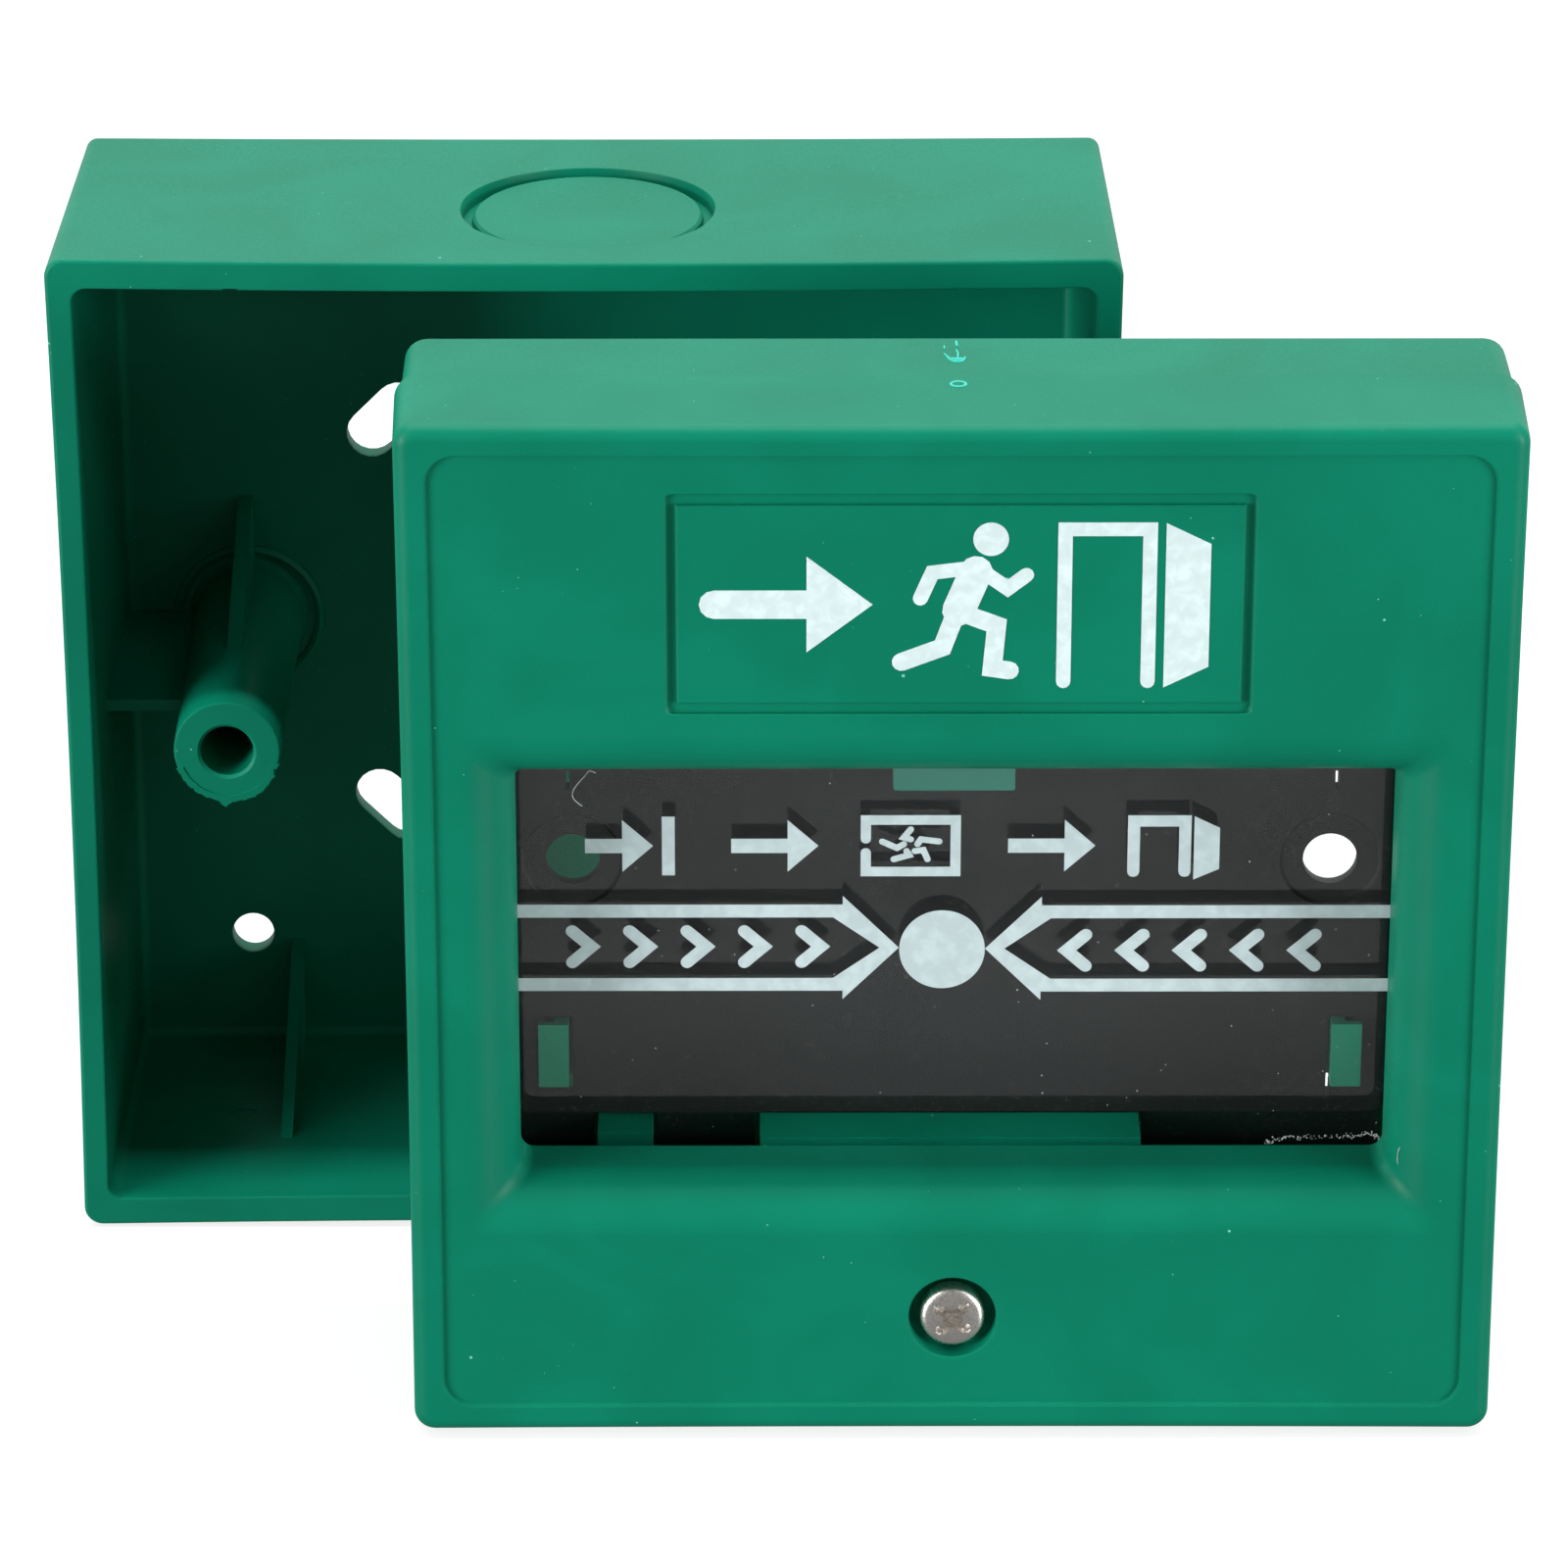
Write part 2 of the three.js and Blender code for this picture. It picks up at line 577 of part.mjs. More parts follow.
function backPlate() {
  const height = PLATE_HIGH - PLATE_LOW;
  const sheet = panel(70, height, 1, (PLATE_LOW + PLATE_HIGH) / 2, [PLATE_FRONT, PLATE_BACK]);
  const through = [PLATE_FRONT - OVERRUN, PLATE_BACK + OVERRUN];
  const screwHoles = [-1, 1].flatMap((side) => [
    bar(side * SCREW_X, MIDDLE, 2.15, through, 24),
    bar(side * SCREW_X, MIDDLE, 3.9, [PLATE_FRONT - 1, PLATE_FRONT + 0.3], 28),
  ]);
  const hookRoom = HOOK_HEIGHT / 2 + GAP;
  const hookSlots = HOOK_ROWS.flatMap((z) =>
    mirroredBlocks([HOOK_X[0] - GAP, HOOK_X[1] + 0.7], through, [z - hookRoom, z + hookRoom]),
  );
  const slits = SLIT_ROWS.flatMap((z) =>
    mirroredBlocks([SLIT_X - 0.15, SLIT_X + 0.15], through, [z - 0.8, z + 0.8]),
  );
  const stemRoom = STEM_HALF + 0.4;
  const stemSlot = block([-stemRoom, stemRoom], through, [STEM_Z - 1.4, STEM_Z + 1.4]);
  return cut(sheet, ...screwHoles, ...hookSlots, ...slits, stemSlot);
}

// ---- Trip plunger and its spring -------------------------------------------------------------

const ARM_BACK = PANE_BACK + GAP + 1.4;

// A paddle behind the top edge of the pane, an arm that reaches the switch over the pane, and a
// stem that slides in the back plate.
function tripPlunger() {
  const across = [-4.75, 4.75];
  const paddle = block(across, [PANE_BACK + GAP, ARM_BACK], [51.4, 62]);
  const knee = block(across, [6.4, ARM_BACK], [60.8, 62]);
  const arm = block(across, [6.4, 7.5], [60.8, 69.5]);
  const nub = block([2.6, 4.4], [7, 8], [SWITCH_Z - 1, SWITCH_Z + 1]);
  const stem = block([-STEM_HALF, STEM_HALF], [ARM_BACK - ROOT, 17.5], [STEM_Z - 1, STEM_Z + 1]);
  return join(paddle, knee, arm, nub, stem);
}

class Helix extends THREE.Curve {
  constructor(radius, turns, start, end, z) {
    super();
    Object.assign(this, { radius, turns, start, end, z });
  }
  getPoint(t, target = new THREE.Vector3()) {
    const angle = t * this.turns * 2 * Math.PI;
    const y = this.start + (this.end - this.start) * t;
    return target.set(this.radius * Math.cos(angle), y, this.z + this.radius * Math.sin(angle));
  }
}

function coil(radius, wire, turns, [y0, y1], z) {
  const section = new THREE.Shape();
  section.absarc(0, 0, wire, 0, 2 * Math.PI);
  const path = new Helix(radius, turns, y0 + wire, y1 - wire, z);
  const options = { steps: turns * 12, extrudePath: path, curveSegments: 5 };
  return solid(new THREE.ExtrudeGeometry(section, options));
}

place(unit, "trip_plunger", tripPlunger(), GREEN());
place(unit, "trip_spring", coil(2.65, 0.2, 5, [ARM_BACK + GAP, PLATE_FRONT - GAP], STEM_Z), STEEL());
place(unit, "back_plate", backPlate(), BLACK());

// ---- Switch board ----------------------------------------------------------------------------

const BOARD_X = [-12, 36];
const BOARD_Z = [62.3, 77.8];
const BOARD_SCREWS = [
  [-10, 75.6],
  [34, 64.5],
].map(([x, z]) => ({ x, z }));

const SWITCH_PINS = [-4.5, 0, 4.5];
const TERMINALS = [-1, 0, 1].map((n) => TERMINAL_X + n * TERMINAL_PITCH);

function boardScrewHoles() {
  return BOARD_SCREWS.map(({ x, z }) => bar(x, z, 0.9, [FRAME_FLOOR_Y - 2, FRAME_BACK - 0.3], 12));
}

function switchBoard() {
  const board = block(BOARD_X, [BOARD_FRONT, BOARD_BACK], BOARD_Z);
  const through = [BOARD_FRONT - OVERRUN, BOARD_BACK + OVERRUN];
  const pinHoles = SWITCH_PINS.map((x) => bar(x, SWITCH_Z, 0.8, through, 10));
  const screwHoles = BOARD_SCREWS.map(({ x, z }) => bar(x, z, 1.2, through, 14));
  return cut(board, ...pinHoles, ...screwHoles);
}

function boardScrew({ x, z }) {
  const headY = BOARD_FRONT - GAP;
  const profile = [
    [0, headY - 1.1],
    [1.5, headY - 0.9],
    [1.7, headY],
    [0.6, headY],
    [0.6, 19.3],
    [0, 19.5],
  ];
  return turned(profile, x, z, 14);
}

place(unit, "switch_board", switchBoard(), finish(0x1d5c34, 0.45));
BOARD_SCREWS.forEach((at, i) => place(unit, `board_screw_${i + 1}`, boardScrew(at), STEEL()));

// ---- Switch ----------------------------------------------------------------------------------

const SWITCH_HALF = 6.4;
const SWITCH_FRONT = 9.9;
const SWITCH_BACK = BOARD_FRONT - GAP;
const SWITCH_LOW = SWITCH_Z - 2.9;
const SWITCH_SPLIT = SWITCH_Z + 1.6;
const BUTTON_X = -1.6;
const LEVER_HINGE_X = -5.6;
const LEVER_FRONT = 8.3;

function switchBody() {
  const across = [-SWITCH_HALF, SWITCH_HALF];
  const body = block(across, [SWITCH_FRONT, SWITCH_BACK], [SWITCH_LOW, SWITCH_SPLIT]);
  return cut(body, bar(BUTTON_X, SWITCH_Z - 0.6, 1.1, [SWITCH_FRONT - 1, 12.2], 16));
}

function switchLid() {
  const across = [-SWITCH_HALF, SWITCH_HALF];
  const lid = block(across, [SWITCH_FRONT, SWITCH_BACK], [SWITCH_SPLIT + GAP, SWITCH_Z + 2.9]);
  const rivets = [-3.2, 3.2].map((x) => upright(x, 13.6, 0.9, [SWITCH_Z + 2.5, SWITCH_Z + 3.2], 14));
  return join(lid, ...rivets);
}

// A thin leaf that lies in front of the button and turns about its left end.
function switchLever() {
  const height = [SWITCH_Z - 1.6, SWITCH_Z + 1];
  const leaf = block([LEVER_HINGE_X - 0.2, 6.2], [LEVER_FRONT, LEVER_FRONT + 0.35], height);
  const foot = block([LEVER_HINGE_X - 0.2, LEVER_HINGE_X + 0.2], [LEVER_FRONT, 9.6], height);
  return join(leaf, foot);
}

function switchPin(x) {
  return block([x - 0.4, x + 0.4], [SWITCH_BACK + 0.15, 19.4], [SWITCH_Z - 0.25, SWITCH_Z + 0.25]);
}

place(unit, "switch_body", switchBody(), BLACK());
place(unit, "switch_lid", switchLid(), BLACK());
place(unit, "switch_button", bar(BUTTON_X, SWITCH_Z - 0.6, 0.8, [8.95, 11.6], 16), finish(0xb02a22, 0.4));
place(unit, "switch_lever", switchLever(), STEEL());
SWITCH_PINS.forEach((x, i) => place(unit, `switch_pin_${i + 1}`, switchPin(x), STEEL()));

// ---- Terminal block --------------------------------------------------------------------------

const BLOCK_FRONT = 7.6;
const BLOCK_BACK = BOARD_FRONT - GAP;
const BLOCK_LOW = TERMINAL_Z - 4;
const BLOCK_HIGH = TERMINAL_Z + 4;
const ENTRY_Y = [11.6, 15.2]; // depth of the wire entries

function terminalBlock() {
  const half = 1.5 * TERMINAL_PITCH + 0.3;
  const across = [TERMINAL_X - half, TERMINAL_X + half];
  const body = block(across, [BLOCK_FRONT, BLOCK_BACK], [BLOCK_LOW, BLOCK_HIGH]);
  const wells = TERMINALS.map((x) => bar(x, TERMINAL_Z, 1.9, [BLOCK_FRONT - 1, 12], 20));
  const entries = TERMINALS.map((x) => block([x - 1.7, x + 1.7], ENTRY_Y, [BLOCK_LOW - 1, BLOCK_HIGH - 1.4]));
  return cut(body, ...wells, ...entries);
}

function terminalScrew(x) {
  const profile = [
    [0, 8.4],
    [1.6, 8.4],
    [1.6, 9.8],
    [1.1, 9.8],
    [1.1, 11.9],
    [0, 11.9],
  ];
  const driverSlot = block([x - 2, x + 2], [8, 9.1], [TERMINAL_Z - 0.25, TERMINAL_Z + 0.25]);
  return cut(turned(profile, x, TERMINAL_Z, 16), driverSlot);
}

// The plate that the screw presses on the wire, bent down at its two ends.
function terminalClamp(x) {
  const across = [x - 1.35, x + 1.35];
  const top = block(across, [12.3, 12.7], [TERMINAL_Z - 2.6, TERMINAL_Z + 2.2]);
  const ends = [-2.6, 1.8].map((dz) => block(across, [12.3, 13.6], [TERMINAL_Z + dz, TERMINAL_Z + dz + 0.4]));
  return join(top, ...ends);
}

place(unit, "terminal_block", terminalBlock(), finish(0x2f8f4e, 0.45));
TERMINALS.forEach((x, i) => {
  place(unit, `terminal_screw_${i + 1}`, terminalScrew(x), STEEL());
  place(unit, `terminal_clamp_${i + 1}`, terminalClamp(x), BRASS());
});

place(unit, "base_frame", baseFrame(), GREEN());

// ---- The whole call point --------------------------------------------------------------------

const callPoint = new THREE.Group();
callPoint.add(box, unit);

export default callPoint;
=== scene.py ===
"""The looks of a manual call point: its moulded shells, pane, print, screw and switch gear.

Shapes are drawn in millimetres in the frame of their own assembly: x is 0 on the centre line,
y is 0 at the front face and z is 0 where it stands. settle() moves them into the row frame, in metres.
"""

import math
import random

import bmesh
import bpy
from mathutils import Matrix, Vector

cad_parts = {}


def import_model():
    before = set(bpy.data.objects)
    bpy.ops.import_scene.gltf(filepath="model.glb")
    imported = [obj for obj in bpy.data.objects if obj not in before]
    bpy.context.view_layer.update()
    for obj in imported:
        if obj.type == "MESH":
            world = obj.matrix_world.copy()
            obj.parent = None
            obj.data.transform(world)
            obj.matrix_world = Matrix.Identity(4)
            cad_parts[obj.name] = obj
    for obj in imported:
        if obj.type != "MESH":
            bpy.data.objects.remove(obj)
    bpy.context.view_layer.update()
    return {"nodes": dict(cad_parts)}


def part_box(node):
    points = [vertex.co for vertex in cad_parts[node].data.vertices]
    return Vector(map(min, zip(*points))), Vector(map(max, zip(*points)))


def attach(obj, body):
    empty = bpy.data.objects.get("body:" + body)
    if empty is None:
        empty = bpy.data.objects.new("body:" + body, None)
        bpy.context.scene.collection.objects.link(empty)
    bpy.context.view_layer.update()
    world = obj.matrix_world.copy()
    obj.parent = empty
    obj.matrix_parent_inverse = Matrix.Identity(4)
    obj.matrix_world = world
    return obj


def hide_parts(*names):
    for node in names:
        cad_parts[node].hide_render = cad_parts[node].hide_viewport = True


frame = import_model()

scene = bpy.context.scene
dice = random.Random(86)
MM = 0.001

# ---- Camera ---------------------------------------------------------------------------------

camera = bpy.data.objects.new("camera", bpy.data.cameras.new("camera"))
scene.collection.objects.link(camera)
camera.data.sensor_width = 36
camera.data.lens = 163.15
camera.location = (0.00015, -0.53236, 0.27307)
PITCH_DOWN = math.radians(23.517)
YAW = math.radians(-0.129)
camera.rotation_euler = (math.pi / 2 - PITCH_DOWN, 0, YAW)
camera.data.clip_start = 0.01
camera.data.clip_end = 20
scene.camera = camera

# ---- Places from the frame -------------------------------------------------------------------


def assembly_origin(node):
    """Middle of the front face of a node, at its lowest point, in millimetres."""
    low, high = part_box(node)
    return Vector(((low.x + high.x) / 2, low.y, low.z)) / MM


BOX = assembly_origin("back_box")
UNIT = assembly_origin("front_cover")
SIDE = round((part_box("front_cover")[1].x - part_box("front_cover")[0].x) / MM, 3)
MIDDLE = SIDE / 2


def local_box(node, origin=UNIT):
    """Lowest and highest corner of a CAD node in its assembly's own frame, in millimetres."""
    low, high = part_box(node)
    return low / MM - origin, high / MM - origin


# ---- Outlines --------------------------------------------------------------------------------


def rectangle(width, height, radius, centre=(0, 0), corner_steps=6, side_steps=1):
    """A rounded rectangle, as a function of the distance by which it is drawn in."""

    def points(inset=0.0):
        r = max(radius - inset, 0.02)
        w = width / 2 - inset - r
        h = height / 2 - inset - r
        corners = [(w, h), (-w, h), (-w, -h), (w, -h)]
        found = []
        for quarter, (x, z) in enumerate(corners):
            for step in range(corner_steps + 1):
                angle = (quarter + step / corner_steps) * math.pi / 2
                found.append((centre[0] + x + r * math.cos(angle), centre[1] + z + r * math.sin(angle)))
            end = Vector(found[-1])
            x, z = corners[(quarter + 1) % 4]
            angle = (quarter + 1) * math.pi / 2
            start = Vector((centre[0] + x + r * math.cos(angle), centre[1] + z + r * math.sin(angle)))
            found += [tuple(end.lerp(start, step / side_steps)) for step in range(1, side_steps)]
        return found

    return points


def mitred(width, height, radius, centre=(0, 0)):
    """A rectangle whose corners keep their radius, however far it is drawn in."""

    def points(inset=0.0):
        return rectangle(width - 2 * inset, height - 2 * inset, radius, centre)()

    return points


def circle(radius, centre=(0, 0), steps=48):
    def points(inset=0.0):
        turns = [2 * math.pi * i / steps for i in range(steps)]
        return [
            (centre[0] + (radius - inset) * math.cos(a), centre[1] + (radius - inset) * math.sin(a))
            for a in turns
        ]

    return points


def oblong(width, length, angle, centre, steps=10):
    """A slot outline with round ends, turned about its centre."""

    def points(inset=0.0):
        r = width / 2 - inset
        half = (length - width) / 2
        found = []
        for end, first in ((half, -math.pi / 2), (-half, math.pi / 2)):
            for step in range(steps + 1):
                a = first + math.pi * step / steps
                x, z = end + r * math.cos(a), r * math.sin(a)
                found.append(
                    (
                        centre[0] + x * math.cos(angle) - z * math.sin(angle),
                        centre[1] + x * math.sin(angle) + z * math.cos(angle),
                    )
                )
        return found

    return points


def quarter_round(radius, inset, y, towards, steps=6):
    """Profile points of a rounded edge. It starts at inset on a side face and ends on the face at y."""
    turns = [math.pi / 2 * i / steps for i in range(steps + 1)]
    return [
        (inset + radius * (1 - math.cos(a)), y - towards * radius * (1 - math.sin(a))) for a in turns
    ]


# ---- Solids ----------------------------------------------------------------------------------


def new_object(name, work):
    """An object made of a bmesh, with its faces turned outward."""
    bmesh.ops.recalc_face_normals(work, faces=work.faces)
    mesh = bpy.data.meshes.new(name)
    work.to_mesh(mesh)
    work.free()
    made = bpy.data.objects.new(name, mesh)
    scene.collection.objects.link(made)
    return made


def loft(outline, profile, closed=False):
    """A solid along Y. Its profile is a list of (inset, y); a closed profile makes a ring."""
    work = bmesh.new()
    rings = []
    for inset, y in profile:
        rings.append([work.verts.new((x, y, z)) for x, z in outline(inset)])
    pairs = list(zip(rings, rings[1:]))
    if closed:
        pairs.append((rings[-1], rings[0]))
    for one, two in pairs:
        for i in range(len(one)):
            j = (i + 1) % len(one)
            work.faces.new((one[i], one[j], two[j], two[i]))
    if not closed:
        work.faces.new(rings[0])
        work.faces.new(rings[-1])
    return new_object("solid", work)


def prism(points, y):
    """A flat shape between two depths, from its outline of (x, z) points."""
    return loft(lambda inset: points, [(0, y[0]), (0, y[1])])


def block(x, y, z, bevel=0.0):
    """A box between two limits on each axis, with its edges rounded by bevel."""
    work = bmesh.new()
    bmesh.ops.create_cube(work, size=1)
    for vertex in work.verts:
        for axis, (low, high) in enumerate((x, y, z)):
            vertex.co[axis] = high if vertex.co[axis] > 0 else low
    if bevel:
        edges = list(work.edges)
        bmesh.ops.bevel(work, geom=edges, offset=bevel, segments=2, profile=0.5, affect="EDGES")
    return new_object("solid", work)


def rib(x, outline):
    """A thin wall between two values of x, from its outline of (y, z) points."""
    work = bmesh.new()
    sides = [[work.verts.new((at, y, z)) for y, z in outline] for at in x]
    count = len(outline)
    for i in range(count):
        j = (i + 1) % count
        work.faces.new((sides[0][i], sides[0][j], sides[1][j], sides[1][i]))
    work.faces.new(sides[0])
    work.faces.new(sides[1])
    return new_object("solid", work)


def thread(points, radius):
    """A thin round thread through some points, with a smooth path and closed ends."""
    path = [Vector(p) for p in points]
    ends = [path[0] * 2 - path[1], *path, path[-1] * 2 - path[-2]]
    smooth = []
    for a, b, c, d in zip(ends, ends[1:], ends[2:], ends[3:]):
        for t in (0, 0.25, 0.5, 0.75):
            bend = (2 * a - 5 * b + 4 * c - d) * t * t + (3 * b - a - 3 * c + d) * t * t * t
            smooth.append(b + 0.5 * ((c - a) * t + bend))
    smooth.append(path[-1])
    work = bmesh.new()
    rings = []
    for before, here, after in zip([smooth[0], *smooth], smooth, [*smooth[1:], smooth[-1]]):
        turn = (after - before).to_track_quat("Z", "Y")
        ring = []
        for step in range(6):
            a = step * math.pi / 3
            spoke = Vector((radius * math.cos(a), radius * math.sin(a), 0))
            ring.append(work.verts.new(here + turn @ spoke))
        rings.append(ring)
    for one, two in zip(rings, rings[1:]):
        for i in range(6):
            work.faces.new((one[i], one[i - 5], two[i - 5], two[i]))
    work.faces.new(rings[0])
    work.faces.new(rings[-1])
    return new_object("thread", work)


def grit(places, size):
    """Tiny uneven grains at some places, as one mesh."""
    work = bmesh.new()
    for place in places:
        stretch = [size * dice.uniform(0.5, 1.5) for _ in range(3)]
        turn = Matrix.Rotation(dice.uniform(0, math.pi), 4, Vector((dice.random(), 1, dice.random())))
        shape = Matrix.Translation(place) @ turn @ Matrix.Diagonal((*stretch, 1))
        bmesh.ops.create_icosphere(work, subdivisions=1, radius=1, matrix=shape)
    return new_object("grit", work)


def apply_modifiers(piece):
    graph = bpy.context.evaluated_depsgraph_get()
    made = bpy.data.meshes.new_from_object(piece.evaluated_get(graph))
    piece.modifiers.clear()
    piece.data = made
    return piece


def combine(operation, body, tools):
    """Joins the tools to a body, or cuts them out of it, and removes them."""
    group = bpy.data.collections.new("tools")
    scene.collection.children.link(group)
    for tool in tools:
        group.objects.link(tool)
    modifier = body.modifiers.new(operation, "BOOLEAN")
    modifier.operation = operation
    modifier.operand_type = "COLLECTION"
    modifier.collection = group
    modifier.solver = "EXACT"
    apply_modifiers(body)
    for tool in tools:
        bpy.data.objects.remove(tool)
    bpy.data.collections.remove(group)
    return body


def join(body, *tools):
    return combine("UNION", body, tools)


def cut(body, *tools):
    return combine("DIFFERENCE", body, tools)


def soften(piece, width, segments=2, angle=40):
    """Rounds every edge of a piece that is sharper than the angle."""
    modifier = piece.modifiers.new("edges", "BEVEL")
    modifier.width = width
    modifier.segments = segments
    modifier.limit_method = "ANGLE"
    modifier.angle_limit = math.radians(angle)
    modifier.use_clamp_overlap = True
    modifier.miter_outer = "MITER_ARC"
    return apply_modifiers(piece)


def bow(piece, amount):
    """Draws the walls of a shell in, most at the middle of each side: by amount(y) there."""
    for vertex in piece.data.vertices:
        x, z = vertex.co.x / MIDDLE, (vertex.co.z - MIDDLE) / MIDDLE
        depth = amount(vertex.co.y)
        vertex.co.x -= x * depth * max(0, 1 - z * z)
        vertex.co.z -= z * depth * max(0, 1 - x * x)


def shade(mesh, angle=32):
    """Smooth shading, broken at edges that are sharper than the angle."""
    work = bmesh.new()
    work.from_mesh(mesh)
    bmesh.ops.remove_doubles(work, verts=work.verts, dist=1e-7)
    limit = math.radians(angle)
    for face in work.faces:
        face.smooth = True
    for edge in work.edges:
        edge.smooth = len(edge.link_faces) == 2 and edge.calc_face_angle(0) < limit
    work.to_mesh(mesh)
    work.free()


def settle(piece, name, body, material, origin=UNIT, replaces=()):
    """Moves a finished piece into the row frame, in metres, and says what it rides on."""
    piece.name = name
    piece.data.name = name
    piece.data.transform(Matrix.Scale(MM, 4) @ Matrix.Translation(origin))
    shade(piece.data)
    piece.data.materials.clear()
    piece.data.materials.append(material)
    normals = piece.modifiers.new("normals", "WEIGHTED_NORMAL")
    normals.keep_sharp = True
    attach(piece, body)
    if replaces:
        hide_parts(*replaces)


# ---- Materials -------------------------------------------------------------------------------


class Surface:
    """A Principled material with short ways to add texture nodes, in millimetres."""

    def __init__(self, name, colour, roughness, metallic=0.0):
        self.material = bpy.data.materials.new(name)
        self.material.use_nodes = True
        self.tree = self.material.node_tree
        self.shader = self.tree.nodes["Principled BSDF"]
        self.shader.inputs["Base Color"].default_value = (*colour, 1)
        self.shader.inputs["Roughness"].default_value = roughness
        self.shader.inputs["Metallic"].default_value = metallic
        self.place = self.add("ShaderNodeTexCoord").outputs["Object"]

    def add(self, kind, **settings):
        node = self.tree.nodes.new(kind)
        for key, value in settings.items():
            setattr(node, key, value)
        return node

    def link(self, output, target):
        self.tree.links.new(output, target)

    def mapped(self, stretch=(1, 1, 1)):
        mapping = self.add("ShaderNodeMapping")
        mapping.inputs["Scale"].default_value = [s / MM for s in stretch]
        self.link(self.place, mapping.inputs["Vector"])
        return mapping.outputs["Vector"]

    def noise(self, scale, detail=2.0, distortion=0.0, place=None):
        """Noise with this many cells per millimetre."""
        node = self.add("ShaderNodeTexNoise")
        node.inputs["Scale"].default_value = scale
        node.inputs["Detail"].default_value = detail
        node.inputs["Distortion"].default_value = distortion
        self.link(place or self.mapped(), node.inputs["Vector"])
        return node.outputs["Fac"]

    def ramp(self, value, start, end, low=0.0, high=1.0):
        node = self.add("ShaderNodeMapRange", interpolation_type="SMOOTHSTEP")
        for key, number in (("From Min", start), ("From Max", end), ("To Min", low), ("To Max", high)):
            node.inputs[key].default_value = number
        self.link(value, node.inputs["Value"])
        return node.outputs["Result"]

    def math(self, operation, a, b):
        node = self.add("ShaderNodeMath", operation=operation)
        for socket, value in zip(node.inputs, (a, b)):
            if isinstance(value, (int, float)):
                socket.default_value = value
            else:
                self.link(value, socket)
        return node.outputs[0]

    def specks(self, spacing, radius):
        """Round specks of mixed sizes, one in each cell of that spacing in millimetres."""
        cells = self.add("ShaderNodeTexVoronoi", feature="F1")
        cells.inputs["Scale"].default_value = 1 / spacing
        self.link(self.mapped(), cells.inputs["Vector"])
        split = self.add("ShaderNodeSeparateColor")
        self.link(cells.outputs["Color"], split.inputs["Color"])
        size = self.math("MULTIPLY", self.math("POWER", split.outputs["Red"], 3.0), radius / spacing)
        edge = self.math("SUBTRACT", size, cells.outputs["Distance"])
        return self.ramp(edge, 0.0, 0.25 * radius / spacing)

    def mix(self, amount, under, over):
        node = self.add("ShaderNodeMix", data_type="RGBA")
        for key, value in ((0, amount), (6, under), (7, over)):
            if hasattr(value, "links"):
                self.link(value, node.inputs[key])
            elif key:
                node.inputs[key].default_value = (*value, 1)
            else:
                node.inputs[key].default_value = value
        return node.outputs[2]

    def colour(self, output):
        self.link(output, self.shader.inputs["Base Color"])

    def roughness(self, output):
        self.link(output, self.shader.inputs["Roughness"])

    def bump(self, height, distance):
        """Bump whose full height is this many millimetres."""
        node = self.add("ShaderNodeBump")
        node.inputs["Strength"].default_value = 1
        node.inputs["Distance"].default_value = distance * MM
        self.link(height, node.inputs["Height"])
        self.link(node.outputs["Normal"], self.shader.inputs["Normal"])

    def set(self, **values):
        for key, value in values.items():
            self.shader.inputs[key.replace("_", " ")].default_value = value


def green_plastic():
    """Satin ABS with a fine moulded grain, faint flow marks and light dust."""
    s = Surface("green_plastic", (0.0, 0.2, 0.115), 0.42)
    s.set(Specular_IOR_Level=0.15)
    cloud = s.ramp(s.noise(0.07, 3, 0.6), 0.3, 0.7)
    tint = s.mix(cloud, (0.0006, 0.186, 0.106), (0.0012, 0.212, 0.124))
    dust = s.math("MAXIMUM", s.specks(2.6, 0.16), s.specks(1.1, 0.07))
    s.colour(s.mix(s.math("MULTIPLY", dust, 0.75), tint, (0.25, 0.75, 0.6)))
    grain = s.noise(5.5, 3)
    s.roughness(s.ramp(grain, 0.25, 0.75, 0.36, 0.5))
    s.bump(s.math("ADD", s.math("MULTIPLY", grain, 0.6), s.math("MULTIPLY", dust, 0.8)), 0.02)
    return s.material


def speckled_black():
    """Black plastic that shows short pale flecks, as recycled stock does."""
    s = Surface("black_plastic", (0.02, 0.021, 0.022), 0.5)
    s.set(Specular_IOR_Level=0.25)
    flecks = s.ramp(s.noise(1.9, 4, 1.6), 0.6, 0.72)
    fine = s.ramp(s.noise(5.0, 2, 0.8), 0.62, 0.75)
    base = s.mix(s.math("MULTIPLY", fine, 0.7), (0.006, 0.0066, 0.0072), (0.045, 0.047, 0.05))
    s.colour(s.mix(s.math("MULTIPLY", flecks, 0.8), base, (0.05, 0.049, 0.048)))
    s.roughness(s.ramp(flecks, 0, 1, 0.5, 0.62))
    s.bump(s.noise(4.0, 3), 0.015)
    return s.material


def black_moulding():
    s = Surface("switch_plastic", (0.015, 0.016, 0.018), 0.5)
    grain = s.noise(7.0, 3)
    s.colour(s.mix(grain, (0.012, 0.013, 0.015), (0.026, 0.027, 0.03)))
    s.roughness(s.ramp(grain, 0.3, 0.7, 0.42, 0.6))
    s.bump(grain, 0.012)
    return s.material


